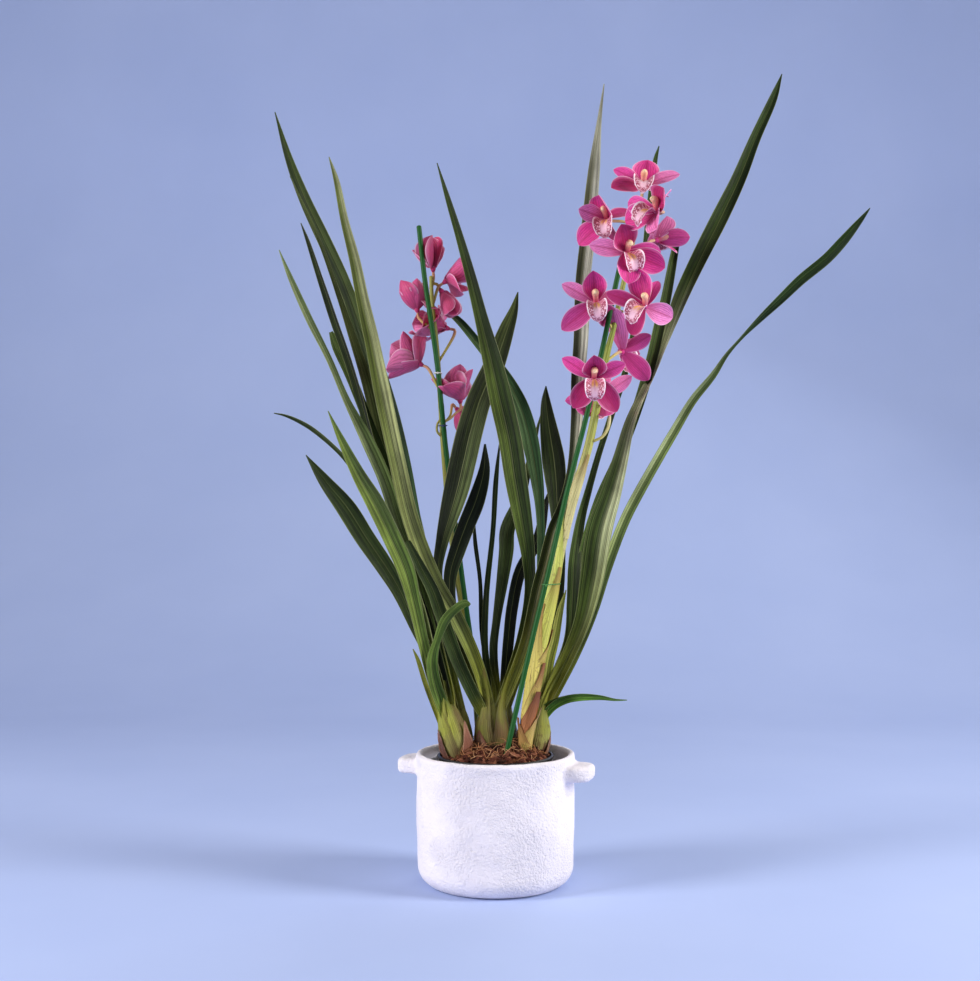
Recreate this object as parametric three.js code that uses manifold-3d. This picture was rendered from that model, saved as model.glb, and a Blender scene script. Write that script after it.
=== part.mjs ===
// A potted Cymbidium orchid with two flower spikes, in a white ceramic pot with two solid lugs.
// Millimetres, +Z up. The origin is the centre of the pot's foot, and the front looks along -Y.

import * as THREE from 'three';
import { mergeVertices } from 'three/addons/utils/BufferGeometryUtils.js';
import Module from 'manifold-3d';

const wasm = await Module();
wasm.setup();

// ---- driving dimensions ---------------------------------------------------------------------

const GAP = 0.35; // clearance between pieces that touch

const POT = {
  height: 145, rim: 88, belly: 87, low: 86, foot: 66, corner: 22, wall: 8.5, floor: 10,
  edgeRound: 4.2, sides: 40,
};
const LUG = {
  directions: [-17, 163], root: 84, reach: 108, halfWidth: 26, tipHalfWidth: 19, tipRound: 9,
  thickness: 15, middle: 127, bevel: 3,
};
const CUP = { rim: 63, foot: 50, top: 143.5, wall: 1.4, roll: 2.6, sides: 32 };
const MEDIUM = { edge: 137, crown: 19, relief: 2.2, rings: 5, sides: 24 };
const CHIPS = { count: 11, length: 15, width: 8, thickness: 5, spread: 50, seed: 7 };
const STAKE_RADIUS = 3;
const STALK_RADIUS = 1.6;
const BRACT = { depth: [-23, -21, -18], thickness: 1.2 };
const TIE = { wire: 0.6, steps: 14, sides: 4 };
const LEAF = { thickness: 0.9, fold: 0.3, fewest: 4, most: 9 };
const TEPAL = { thickness: 0.8, fold: 0.16, budLength: 0.9, budWidth: 0.62 };
const HUB = { back: -4, front: 0.5, radius: 3.4 };

// Routes are read in the front view, in units of a viewer's picture: column and row grow to the
// right and down. place() turns them into a point at a depth, which grows away from the viewer.
const VIEW = { distance: 1716, focal: 1560, column: 490, row: 490.5, x: -6.05, z: 431.8 };
const AWAY = new THREE.Vector3(0, 1, 0);

// ---- routes and shapes of the plant ---------------------------------------------------------

// Each leaf: route from tip to base as [column, row, width seen], depth from tip to base, and
// roll in degrees about its own length (positive turns its face to the right).
const SHOOTS = {
  shoot_left_front: {
    colour: 0x5f7530,
    bulb: { foot: [460, 762], top: [446, 688], depth: -15, radius: 15 },
    leaves: {
      front_light: {
        route: [[328, 411, 1], [341, 440, 8], [358, 475, 15], [375, 505, 20], [392, 540, 20],
          [405, 570, 19], [413, 600, 15], [422, 640, 12], [432, 680, 12], [447, 722, 11]],
        depth: [-105, -70, -38, -16], roll: 20,
      },
      broad_dark: {
        route: [[306, 455, 1], [325, 480, 14], [347, 507, 22], [366, 537, 22], [385, 565, 20],
          [400, 590, 17], [416, 625, 14], [432, 660, 12], [448, 715, 11]],
        depth: [-60, -32, -16, -15], roll: -15,
      },
      thin_arching: {
        route: [[274, 413, 1], [285, 415, 3], [300, 421, 5], [315, 430, 6], [343, 455, 6],
          [362, 480, 8], [385, 520, 9], [405, 560, 10], [422, 605, 11], [447, 710, 11]],
        depth: [-44, -24, -14, -15], roll: -50,
      },
      far_pale: {
        route: [[279, 250, 1], [291, 280, 6], [309, 320, 8], [329, 360, 7], [346, 400, 8],
          [366, 440, 14], [384, 480, 15], [400, 530, 15], [412, 560, 14], [425, 610, 13],
          [448, 712, 12]],
        depth: [-32, -16, -12, -14], roll: 25,
      },
      dark_between: {
        route: [[412, 575, 1], [420, 600, 8], [432, 640, 11], [450, 710, 11]],
        depth: [-12, -13, -15], roll: 0,
      },
      curled_front: {
        route: [[470, 604, 1], [465, 603, 4], [455, 609, 8], [445, 620, 10], [437, 640, 8],
          [432, 660, 12], [434, 680, 13], [440, 700, 13], [448, 722, 11]],
        depth: [-30, -36, -30, -17], roll: 10,
      },
      small_hook: {
        route: [[413, 649, 1], [418, 660, 4], [426, 685, 5], [440, 722, 5]],
        depth: [-22, -18, -15], roll: 0,
      },
    },
  },
  shoot_left_back: {
    colour: 0x3f5323,
    bulb: { foot: [464, 760], top: [460, 694], depth: 13, radius: 12 },
    leaves: {
      tallest_left: {
        route: [[275, 112, 1], [290, 160, 9], [306, 200, 13], [325, 240, 15], [345, 283, 15],
          [360, 325, 15], [380, 390, 16], [400, 460, 17], [425, 560, 16], [445, 640, 14],
          [461, 720, 11]],
        depth: [120, 92, 58, 13], roll: -20,
      },
      light_beside: {
        route: [[290, 176, 1], [318, 238, 4], [340, 300, 6], [353, 340, 9], [367, 385, 12],
          [380, 440, 12], [398, 500, 12], [425, 590, 12], [460, 716, 11]],
        depth: [70, 52, 36, 13], roll: 25,
      },
      blue_green: {
        route: [[370, 330, 2], [381, 370, 9], [392, 412, 13], [403, 460, 14], [416, 530, 14],
          [430, 590, 13], [461, 716, 11]],
        depth: [34, 26, 18, 13], roll: 15,
      },
      dark_narrow: {
        route: [[301, 223, 1], [308, 240, 5], [321.5, 280, 8], [335, 320, 10], [349, 360, 10],
          [361, 400, 10], [372, 440, 9], [385, 480, 11], [403, 525, 12], [420, 570, 12],
          [437, 630, 12], [460, 718, 11]],
        depth: [52, 36, 22, 13], roll: -40,
      },
      short_blunt: {
        route: [[331, 332, 4], [336, 345, 9], [350, 375, 10], [366, 415, 10], [388, 470, 10],
          [415, 550, 10], [437, 625, 10], [460, 718, 10]],
        depth: [44, 36, 26, 13], roll: 0,
      },
    },
  },
  shoot_centre_front: {
    colour: 0x46602a,
    bulb: { foot: [492, 760], top: [492, 688], depth: -6, radius: 15 },
    leaves: {
      big_left: {
        route: [[329, 157, 1], [336, 180, 6], [344, 220, 9], [354, 260, 12], [362, 300, 14],
          [371, 340, 16], [381, 390, 18], [396, 460, 18], [410, 520, 18], [433, 580, 18],
          [456, 620, 16], [476, 665, 14], [491, 718, 12]],
        depth: [-34, -26, -18, -14, -8], roll: 20,
      },
      cut_end: {
        route: [[408, 541, 6], [420, 565, 11], [433, 590, 13], [442, 615, 14], [458, 660, 14],
          [477, 700, 13], [491, 724, 11]],
        depth: [-28, -22, -16, -8], roll: -10,
      },
      tall_centre: {
        route: [[437, 163, 1], [448, 200, 6], [460, 240, 9], [471, 280, 12], [481, 320, 15],
          [491, 360, 21], [500, 400, 25], [509, 440, 25], [515, 480, 24], [522, 520, 20],
          [528, 560, 14], [529, 590, 11], [520, 640, 10], [497, 712, 11]],
        depth: [-62, -42, -24, -12, 2, -6], roll: 15,
      },
      ribbed_wide: {
        route: [[518, 292, 1], [514, 310, 9], [507, 330, 16], [495, 365, 22], [480, 400, 26],
          [471, 430, 28], [464, 460, 28], [457, 490, 26], [450, 515, 21], [443, 540, 14],
          [438, 575, 10], [447, 612, 10], [467, 660, 11], [490, 718, 11]],
        depth: [30, 14, 2, -2, -3, -8], roll: -10,
      },
      black_right_lit: {
        route: [[485, 444, 2], [484, 470, 12], [476, 500, 18], [466, 525, 18], [457, 550, 17],
          [450, 575, 14], [451, 605, 11], [465, 650, 11], [490, 714, 11]],
        depth: [6, 5, 2, -6], roll: 10,
      },
      tallest_pale: {
        route: [[604, 84, 1], [599, 121, 5], [593, 174, 13], [586, 244, 16], [582, 282, 16],
          [580, 340, 16], [577, 380, 15], [576, 420, 13], [571, 470, 10], [563, 505, 12],
          [553, 530, 14], [545, 560, 14], [537, 590, 14], [524, 645, 13], [496, 716, 12]],
        depth: [100, 78, 56, 38, 4, -7, -7, -6], roll: 15,
      },
    },
  },
  shoot_centre_back: {
    colour: 0x2c3f1c,
    bulb: { foot: [503, 756], top: [501, 694], depth: 32, radius: 13 },
    leaves: {
      thin_left: {
        route: [[474, 515, 1], [475, 540, 4], [480, 580, 4], [483, 640, 5], [499, 712, 6]],
        depth: [30, 30, 32], roll: 0,
      },
      thin_middle: {
        route: [[500, 440, 1], [496, 480, 5], [493, 530, 5], [486, 600, 6], [486, 660, 7],
          [500, 714, 7]],
        depth: [22, 26, 30, 32], roll: 0,
      },
      blue_green_centre: {
        route: [[440, 307, 1], [458, 320, 7], [477, 342, 9], [496, 365, 12], [511, 387, 14],
          [522, 410, 16], [530, 440, 17], [537, 480, 13], [540, 510, 9], [541, 550, 8],
          [538, 600, 8], [522, 660, 9], [503, 716, 10]],
        depth: [62, 44, 26, 24, 28, 32], roll: 0,
      },
      black_light_tip: {
        route: [[541, 414, 1], [535, 440, 5], [528, 470, 8], [520, 500, 12], [508, 530, 16],
          [507, 550, 16], [503, 580, 13], [497, 620, 9], [494, 650, 9], [500, 714, 10]],
        depth: [60, 44, 34, 30, 32], roll: -15,
      },
      black_right: {
        route: [[549, 490, 1], [544, 510, 8], [537, 540, 12], [520, 570, 13], [512, 605, 13],
          [508, 640, 12], [502, 712, 11]],
        depth: [60, 48, 38, 32], roll: 15,
      },
    },
  },
  shoot_right: {
    colour: 0x4b642c,
    bulb: { foot: [533, 760], top: [533, 692], depth: 14, radius: 15 },
    leaves: {
      dark_broad_right: {
        route: [[546, 386, 1], [546, 400, 9], [548, 420, 16], [551, 440, 21], [554, 460, 24],
          [556, 480, 22], [557, 500, 17], [559, 530, 13], [560, 560, 12], [556, 620, 11],
          [535, 714, 11]],
        depth: [34, 26, 20, 14], roll: -10,
      },
      behind_blooms: {
        route: [[659, 146, 1], [655, 160, 5], [650, 200, 7], [644, 260, 8], [634, 330, 8],
          [624, 375, 7], [612, 412, 7], [598, 455, 7], [588, 490, 8], [580, 520, 10],
          [574, 560, 14], [572, 600, 15], [568, 640, 13], [538, 714, 12]],
        depth: [110, 88, 62, 30, 14, 14], roll: 20,
      },
      upright_right: {
        route: [[678, 228, 1], [677, 240, 6], [673, 262, 9], [666, 300, 11], [660, 325, 12],
          [652, 360, 12], [637, 410, 11], [618, 460, 11], [600, 500, 11], [585, 550, 11],
          [580, 590, 11], [575, 630, 11], [538, 716, 12]],
        depth: [46, 36, 26, 18, 14], roll: -15,
      },
      tallest_right: {
        route: [[782, 74, 1], [773, 100, 9], [755, 140, 12], [739, 180, 16], [720, 220, 19],
          [700, 260, 19], [682, 300, 18], [665, 345, 10], [655, 370, 8], [643, 395, 9],
          [631, 423, 12], [622, 458, 17], [612, 494, 22], [601, 530, 27], [593, 580, 25],
          [584, 620, 18], [572, 650, 15], [539, 716, 13]],
        depth: [110, 88, 62, 44, 10, -4, 4, 14], roll: -20,
      },
      long_arching: {
        route: [[870, 208, 1], [860, 220, 6], [843, 240, 11], [826, 258, 12], [800, 279, 12],
          [780, 298, 11], [760, 317, 9], [740, 338, 5], [726, 354, 6], [712, 375, 9],
          [692, 400, 10], [674, 430, 11], [645, 480, 12], [624, 520, 12], [605, 570, 12],
          [592, 610, 12], [575, 650, 12], [540, 716, 12]],
        depth: [-70, -30, 4, 16, 16, 14], roll: 20,
      },
      short_sheath: {
        route: [[566, 590, 1], [560, 610, 7], [554, 640, 10], [549, 660, 11], [545, 685, 11],
          [536, 722, 11]],
        depth: [2, 4, 8, 13], roll: 15,
      },
      low_arching: {
        route: [[627, 700, 1], [615, 699.5, 3], [600, 697, 6], [580, 696.5, 9], [565, 699, 10],
          [552, 706, 10], [536, 724, 9]],
        depth: [-45, -22, 0, 14], roll: 25,
      },
    },
  },
};

// Stakes and spikes: route from foot to top as [column, row, depth] and, for a spike, the radius.
const STAKES = {
  stake_left: [[489, 850, 14], [477, 690, 14], [462, 576, 14], [446, 450, 14], [436.5, 359, 14],
    [424.7, 278.7, 14], [419, 227, 14]],
  stake_right: [[484, 851, -36], [507, 751, -34], [533, 636.5, -30], [548.5, 572, -27],
    [566, 496, -26], [586, 418, -26], [603, 346, -26], [617, 279, -26], [628, 232, -26]],
};
const SPIKES = {
  spike_left: {
    route: [[482, 782, 25, 4], [480, 740, 25, 4], [476, 690, 25, 4], [462, 600, 25, 3.6],
      [450, 520, 25, 3.4], [444, 455, 25, 3.1], [441, 410, 25, 2.9], [437, 350, 25, 2.7],
      [432, 300, 26, 2.4], [431, 277, 27, 2.1]],
    bracts: [],
  },
  spike_right: {
    route: [[524, 776, -13, 6], [526, 735, -13, 6.6], [531, 695, -13, 7.4], [540, 645, -13, 7.6],
      [549, 605, -13, 7], [558, 560, -13, 6], [568, 520, -13, 4.6], [577, 485, -13, 5],
      [588, 448, -14, 3.9], [596, 410, -14, 3.7], [605, 362, -14, 3.4], [613, 330, -14, 3],
      [622, 290, -15, 2.8], [631, 250, -16, 2.6], [640, 210, -18, 2.4]],
    bracts: [[[566, 508, 1], [562, 525, 6], [557, 545, 9], [553, 566, 7]]],
  },
};

// Blooms: hub as [column, row, depth], the way the flower faces, which way its top sepal points,
// how far it is open, and where its stalk leaves the spike. x is right, y is away, z is up.
const RIGHT_BLOOMS = [
  { hub: [643, 186, -24], face: [0, -0.8, 0.6], top: [0.1, 0, 1], from: [639, 214, -18] },
  { hub: [656, 211, -88], face: [-0.8, -0.6, 0], top: [0, 0, 1], from: [636, 230, -17],
    via: [648, 218, -46] },
  { hub: [607, 219, -35], face: [-0.6, -0.8, 0.05], top: [-0.1, 0, 1], from: [635, 236, -16.5],
    via: [627, 223, -21] },
  { hub: [657, 240, 0], face: [0.65, 0.6, 0.2], top: [0.1, 0, 1], from: [630, 254, -16] },
  { hub: [627, 252, -58], face: [0.3, -0.95, -0.1], top: [-0.2, 0, 1], from: [624, 283, -15],
    via: [632, 268, -30] },
  { hub: [596, 302, -40], face: [-0.05, -1, 0.05], top: [-0.1, 0, 1], from: [613, 330, -14],
    via: [619, 318, -36] },
  { hub: [645, 306, -64], face: [-0.4, -0.9, 0], top: [-0.1, 0, 1], from: [617, 312, -14.5],
    via: [633, 310, -36] },
  { hub: [622, 352, 12], face: [0.4, 0.9, 0.1], top: [-0.2, 0, 1], from: [605, 362, -14] },
  { hub: [594, 378, -48], face: [0, -1, 0.1], top: [0, 0, 1], from: [596, 410, -14],
    via: [605, 396, -30] },
  { hub: [600, 396, 8], face: [0, 1, -0.2], top: [0, 0, 1], from: [594, 418, -14],
    via: [600, 412, -6] },
];
const LEFT_BLOOMS = [
  { hub: [433, 268, 30], face: [-0.05, -0.1, 1], top: [0, 1, 0], open: 0.22,
    from: [431.5, 290, 26.5] },
  { hub: [446, 281, 30], face: [0.75, -0.2, 0.55], top: [-0.5, 0, 1], open: 0.5,
    from: [433, 305, 26] },
  { hub: [442, 292, 34], face: [0.55, 0.1, -0.8], top: [1, 0, 0.5], open: 0.15,
    from: [431.3, 284, 27] },
  { hub: [417, 309, 36], face: [-0.2, 0.2, 1], top: [1, 0, 0], open: 0.35,
    from: [435, 332, 25.5] },
  { hub: [446, 328, 52], face: [-0.95, 0, 0.25], top: [0, 0, 1], open: 0.45,
    from: [439, 362, 25] },
  { hub: [420, 364, 34], face: [-0.75, 0.25, 0.4], top: [0.3, 0, 1], open: 0.62,
    from: [440, 392, 25] },
  { hub: [460, 400, 34], face: [-0.1, 0.2, 1], top: [-1, 0, 0.1], open: 0.55,
    from: [443, 438, 25] },
  { hub: [458, 410, 50], face: [0.5, 0.5, -0.5], top: [0, 0, 1], open: 0.4,
    from: [442, 425, 25], via: [450, 416, 34] },
];

// The ties hold a spike to its stake: the row at which each one goes round.
const TIES = [
  { name: 'tie_left_top', stake: 'stake_left', spike: 'spike_left', row: 372, colour: 0xd8d8d0 },
  { name: 'tie_left_low', stake: 'stake_left', spike: 'spike_left', row: 425, colour: 0x24305c },
  { name: 'tie_right', stake: 'stake_right', spike: 'spike_right', row: 583, colour: 0x3a7a3c },
];

// ---- small tools ----------------------------------------------------------------------------

function place(column, row, depth) {
  const spread = (VIEW.distance + depth) / VIEW.focal;
  const x = VIEW.x + (column - VIEW.column) * spread;
  const z = VIEW.z - (row - VIEW.row) * spread;
  return new THREE.Vector3(x, depth, z);
}

function spreadAt(depth) {
  return (VIEW.distance + depth) / VIEW.focal;
}

// A value from an evenly spaced list, at a fraction of its length.
function sample(list, fraction) {
  const at = fraction * (list.length - 1);
  const low = Math.min(Math.floor(at), list.length - 2);
  return THREE.MathUtils.lerp(list[low], list[low + 1], at - low);
}

function seeded(seed) {
  let state = seed;
  return () => {
    state = (state * 16807) % 2147483647;
    return state / 2147483647;
  };
}

function solidOf(geometry) {
  const bare = geometry.clone();
  bare.deleteAttribute('normal');
  bare.deleteAttribute('uv');
  const merged = mergeVertices(bare, 1e-4);
  const mesh = new wasm.Mesh({
    numProp: 3,
    vertProperties: new Float32Array(merged.attributes.position.array),
    triVerts: new Uint32Array(merged.index.array),
  });
  return new wasm.Manifold(mesh);
}

function geometryOf(solid) {
  const mesh = solid.getMesh();
  const geometry = new THREE.BufferGeometry();
  geometry.setAttribute('position', new THREE.BufferAttribute(mesh.vertProperties.slice(), 3));
  geometry.setIndex(new THREE.BufferAttribute(mesh.triVerts.slice(), 1));
  return geometry;
}

function fuse(geometries) {
  return geometries.map(solidOf).reduce((sum, solid) => sum.add(solid));
}

// The largest body of a solid, without the loose scraps that a join or cut can leave.
function largest(solid) {
  return solid.decompose().reduce((best, body) => (body.volume() > best.volume() ? body : best));
}

function indexed(positions, faces) {
  const geometry = new THREE.BufferGeometry();
  geometry.setAttribute('position', new THREE.Float32BufferAttribute(positions, 3));
  geometry.setIndex(faces);
  return geometry;
}

// A rod through points, with a radius at each and flat ends.
function rod(points, radii, sides) {
  const curve = new THREE.CatmullRomCurve3(points);
  const positions = [];
  const faces = [];
  const side = new THREE.Vector3();
  points.forEach((point, i) => {
    const along = curve.getTangent(i / (points.length - 1));
    if (i === 0) {
      side.crossVectors(along, Math.abs(along.y) > 0.8 ? new THREE.Vector3(1, 0, 0) : AWAY);
    }
    side.addScaledVector(along, -side.dot(along)).normalize();
    const other = new THREE.Vector3().crossVectors(along, side);
    for (let k = 0; k < sides; k += 1) {
      const angle = (2 * Math.PI * k) / sides;
      const rim = point.clone();
      rim.addScaledVector(side, radii[i] * Math.cos(angle));
      rim.addScaledVector(other, radii[i] * Math.sin(angle));
      positions.push(rim.x, rim.y, rim.z);
    }
  });
  for (let i = 0; i < points.length - 1; i += 1) {
    for (let k = 0; k < sides; k += 1) {
      const next = (k + 1) % sides;
      const a = i * sides;
      const b = a + sides;
      faces.push(a + k, a + next, b + next, a + k, b + next, b + k);
    }
  }
  const last = (points.length - 1) * sides;
  for (let k = 1; k < sides - 1; k += 1) {
    faces.push(0, k + 1, k);
    faces.push(last, last + k, last + k + 1);
  }
  return indexed(positions, faces);
}

// A thin closed blade. Each station has a centre, the way along, the way to its right edge, a
// half width and a fold (how far the edges stand out of the rib's plane, as a share of it).
function blade(stations, thickness) {
  const positions = [];
  const faces = [];
  for (const { centre, along, side, half, fold } of stations) {
    const out = new THREE.Vector3().crossVectors(side, along).normalize();
    for (const face of [0.5, -0.5]) {
      for (const column of [-1, 0, 1]) {
        const point = centre.clone();
        point.addScaledVector(side, column * half);
        point.addScaledVector(out, Math.abs(column) * fold * half + face * thickness);
        positions.push(point.x, point.y, point.z);
      }
    }
  }
  for (let i = 0; i < stations.length - 1; i += 1) {
    const a = 6 * i;
    const b = a + 6;
    for (const c of [0, 1]) {
      faces.push(a + c, a + c + 1, b + c + 1, a + c, b + c + 1, b + c);
      faces.push(a + 3 + c, b + 4 + c, a + 4 + c, a + 3 + c, b + 3 + c, b + 4 + c);
    }
    faces.push(a, b, b + 3, a, b + 3, a + 3);
    faces.push(a + 2, a + 5, b + 5, a + 2, b + 5, b + 2);
  }
  const end = 6 * (stations.length - 1);
  for (const c of [0, 1]) {
    faces.push(c, 3 + c, 4 + c, c, 4 + c, 1 + c);
    faces.push(end + c, end + 4 + c, end + 3 + c, end + c, end + 1 + c, end + 4 + c);
  }
  return indexed(positions, faces);
}

// ---- pots and medium ------------------------------------------------------------------------

function lathe(profile, sides) {
  return new THREE.LatheGeometry(profile.map(([r, z]) => new THREE.Vector2(r, z)), sides)
    .rotateX(Math.PI / 2);
}

// Points on an arc in the (radius, height) plane, from one angle to another in degrees.
function arc(r, z, radius, from, to, steps) {
  return Array.from({ length: steps + 1 }, (_, i) => {
    const angle = THREE.MathUtils.degToRad(from + ((to - from) * i) / steps);
    return [r + radius * Math.cos(angle), z + radius * Math.sin(angle)];
  });
}

function potBody() {
  const inner = POT.rim - POT.wall;
  const lipMiddle = POT.rim - POT.edgeRound;
  return lathe([
    [0, 0],
    [POT.foot, 0],
    ...arc(POT.low - POT.corner, POT.corner, POT.corner, -72, 0, 3),
    [POT.belly + 0.5, POT.height * 0.5],
    [POT.belly - 0.5, POT.height - 14],
    ...arc(lipMiddle, POT.height - POT.edgeRound, POT.edgeRound, -10, 190, 6),
    [inner, POT.height - 16],
    [inner - 1, POT.floor + 16],
    [inner - 10, POT.floor + 3],
    [inner - 18, POT.floor],
    [0, POT.floor],
  ], POT.sides);
}

function lugBody(direction) {
  const { root, reach, halfWidth, tipHalfWidth, tipRound } = LUG;
  const outline = new THREE.Shape();
  outline.moveTo(root, -halfWidth);
  outline.lineTo(reach - tipRound - 4, -tipHalfWidth - 1);
  outline.quadraticCurveTo(reach - 1, -tipHalfWidth, reach, -tipHalfWidth + tipRound + 3);
  outline.lineTo(reach, tipHalfWidth - tipRound - 3);
  outline.quadraticCurveTo(reach - 1, tipHalfWidth, reach - tipRound - 4, tipHalfWidth + 1);
  outline.lineTo(root, halfWidth);
  outline.closePath();
  const geometry = new THREE.ExtrudeGeometry(outline, {
    depth: LUG.thickness - 2 * LUG.bevel,
    bevelEnabled: true,
    bevelThickness: LUG.bevel,
    bevelSize: LUG.bevel,
    bevelOffset: -LUG.bevel,
    bevelSegments: 2,
    curveSegments: 4,
  });
  return geometry
    .translate(0, 0, LUG.middle - LUG.thickness / 2 + LUG.bevel)
    .rotateZ(THREE.MathUtils.degToRad(direction));
}

function makePot() {
  return fuse([potBody(), ...LUG.directions.map(lugBody)]);
}

function cupInner(z) {
  const rise = (z - POT.floor) / (CUP.top - POT.floor);
  return THREE.MathUtils.lerp(CUP.foot, CUP.rim, rise) - CUP.wall;
}

function makeCup() {
  const bottom = POT.floor + GAP;
  return solidOf(lathe([
    [0, bottom],
    [CUP.foot, bottom],
    [CUP.rim - 1, CUP.top - CUP.roll],
    [CUP.rim + 1, CUP.top - CUP.roll],
    [CUP.rim + 1, CUP.top],
    [CUP.rim - CUP.wall, CUP.top],
    [cupInner(CUP.top - CUP.roll), CUP.top - CUP.roll],
    [CUP.foot - CUP.wall, bottom + CUP.wall],
    [0, bottom + CUP.wall],
  ], CUP.sides));
}

// The height of the medium's surface: a low mound with knobbly relief.
function mediumTop(x, y) {
  const share = Math.min(Math.hypot(x, y) / CUP.rim, 1);
  const mound = MEDIUM.edge + MEDIUM.crown * (1 - share * share);
  const knobs = Math.sin(x * 0.31 + y * 0.17) * Math.cos(y * 0.37 - x * 0.11);
  return mound + MEDIUM.relief * knobs * (1 - share ** 6);
}

function mediumBody() {
  const bottom = POT.floor + GAP + CUP.wall + GAP;
  const radiusAt = (z) => cupInner(z) - GAP;
  const positions = [0, 0, bottom];
  const faces = [];
  const ring = (radius, height) => {
    for (let k = 0; k < MEDIUM.sides; k += 1) {
      const angle = (2 * Math.PI * k) / MEDIUM.sides;
      const x = radius * Math.cos(angle);
      const y = radius * Math.sin(angle);
      positions.push(x, y, height ?? mediumTop(x, y));
    }
  };
  ring(radiusAt(bottom) - 1, bottom);
  const edge = radiusAt(MEDIUM.edge) - 1;
  for (let i = 0; i < MEDIUM.rings; i += 1) {
    ring((edge * (MEDIUM.rings - i)) / MEDIUM.rings);
  }
  positions.push(0, 0, mediumTop(0, 0));
  const crown = positions.length / 3 - 1;
  for (let k = 0; k < MEDIUM.sides; k += 1) {
    const next = (k + 1) % MEDIUM.sides;
    faces.push(0, 1 + next, 1 + k);
    for (let i = 0; i < MEDIUM.rings; i += 1) {
      const a = 1 + i * MEDIUM.sides;
      const b = a + MEDIUM.sides;
      faces.push(a + k, a + next, b + next, a + k, b + next, b + k);
    }
    const last = 1 + MEDIUM.rings * MEDIUM.sides;
    faces.push(last + k, last + next, crown);
  }
  return indexed(positions, faces);
}

// Bark chips lie flat on the medium, each turned and tipped a little.
function chips() {
  const random = seeded(CHIPS.seed);
  return Array.from({ length: CHIPS.count }, () => {
    const angle = random() * 2 * Math.PI;
    const radius = Math.sqrt(random()) * CHIPS.spread;
    const x = radius * Math.cos(angle);
    const y = radius * Math.sin(angle);
    const size = 0.6 + 0.5 * random();
    const geometry = new THREE.BoxGeometry(
      CHIPS.length * size, CHIPS.width * size, CHIPS.thickness);
    const tip = new THREE.Euler(0.5 * (random() - 0.5), 0.5 * (random() - 0.5), random() * 3.1);
    geometry.applyMatrix4(new THREE.Matrix4().makeRotationFromEuler(tip));
    return geometry.translate(x, y, mediumTop(x, y) + 0.5);
  });
}

function makeMedium() {
  const holes = [
    ...Object.values(SHOOTS).map(({ bulb }) => bulbBody(bulb, GAP)),
    ...Object.values(STAKES).map((route) => stakeBody(route, GAP)),
    ...Object.values(SPIKES).map(({ route }) => stemBody(route, GAP)),
  ];
  return fuse([mediumBody(), ...chips()]).subtract(fuse(holes));
}

// ---- plant ----------------------------------------------------------------------------------

// A bulb is a pear shape from its foot in the medium to its top; grow makes its hole.
function bulbBody({ foot, top, depth, radius }, grow = 0) {
  const low = place(foot[0], foot[1], depth);
  const high = place(top[0], top[1], depth);
  const shares = [0, 0.12, 0.3, 0.5, 0.7, 0.88, 1];
  const swell = [0.66, 0.86, 1, 0.96, 0.8, 0.6, 0.36];
  const axis = high.clone().sub(low);
  const points = shares.map((share) => low.clone().addScaledVector(axis, share));
  points[0].addScaledVector(axis.clone().normalize(), -grow);
  return rod(points, swell.map((s) => s * radius + grow), 10);
}

function leafStations({ route, depth, roll }) {
  const sections = THREE.MathUtils.clamp(route.length - 1, LEAF.fewest, LEAF.most);
  const fromBase = [...route].reverse();
  const depthsFromBase = [...depth].reverse();
  const last = fromBase.length - 1;
  const points = fromBase.map(([column, row], i) => (
    place(column, row, sample(depthsFromBase, i / last))));
  const widths = fromBase.map(([, , width]) => width);
  const curve = new THREE.CatmullRomCurve3(points, false, 'centripetal');
  const turn = THREE.MathUtils.degToRad(roll);
  return Array.from({ length: sections + 1 }, (_, i) => {
    const share = curve.getUtoTmapping(i / sections);
    const centre = curve.getPoint(share);
    const along = curve.getTangent(share);
    const side = new THREE.Vector3().crossVectors(AWAY, along).normalize();
    side.applyAxisAngle(along, turn);
    const seen = sample(widths, share) * spreadAt(centre.y);
    const half = Math.max(seen / 2 / Math.cos(turn), 0.5);
    return { centre, along, side, half, fold: LEAF.fold };
  });
}

function makeShoot({ bulb, leaves }) {
  const parts = Object.values(leaves).map((leaf) => blade(leafStations(leaf), LEAF.thickness));
  return fuse([bulbBody(bulb), ...parts]);
}

function stakeBody(route, grow = 0) {
  const points = route.map((stop) => place(...stop));
  const along = points[1].clone().sub(points[0]).normalize();
  points[0].addScaledVector(along, -grow);
  return rod(points, points.map(() => STAKE_RADIUS + grow), 8);
}

function stemBody(route, grow = 0) {
  const points = route.map(([column, row, depth]) => place(column, row, depth));
  const along = points[1].clone().sub(points[0]).normalize();
  points[0].addScaledVector(along, -grow);
  return rod(points, route.map(([, , , radius]) => radius + grow), 7);
}

// The turned frame of a bloom: z is the way it faces and y is the way its top sepal points.
function bloomFrame({ hub, face, top }) {
  const z = new THREE.Vector3(...face).normalize();
  const y = new THREE.Vector3(...top);
  y.addScaledVector(z, -y.dot(z)).normalize();
  const x = new THREE.Vector3().crossVectors(y, z);
  const frame = new THREE.Matrix4().makeBasis(x, y, z);
  return frame.setPosition(place(...hub));
}

// A stalk leaves the spike and meets the back of its bloom end to end.
function stalkBody(bloom) {
  const frame = bloomFrame(bloom);
  const seat = HUB.back - 1.4 * GAP;
  const stops = [place(...bloom.from)];
  if (bloom.via) {
    stops.push(place(...bloom.via));
  }
  stops.push(new THREE.Vector3(0, 0, seat - 6).applyMatrix4(frame));
  const end = new THREE.Vector3(0, 0, seat).applyMatrix4(frame);
  const bend = new THREE.CatmullRomCurve3(stops).getPoints(3);
  return rod([...bend, end], Array(5).fill(STALK_RADIUS), 5);
}

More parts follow.
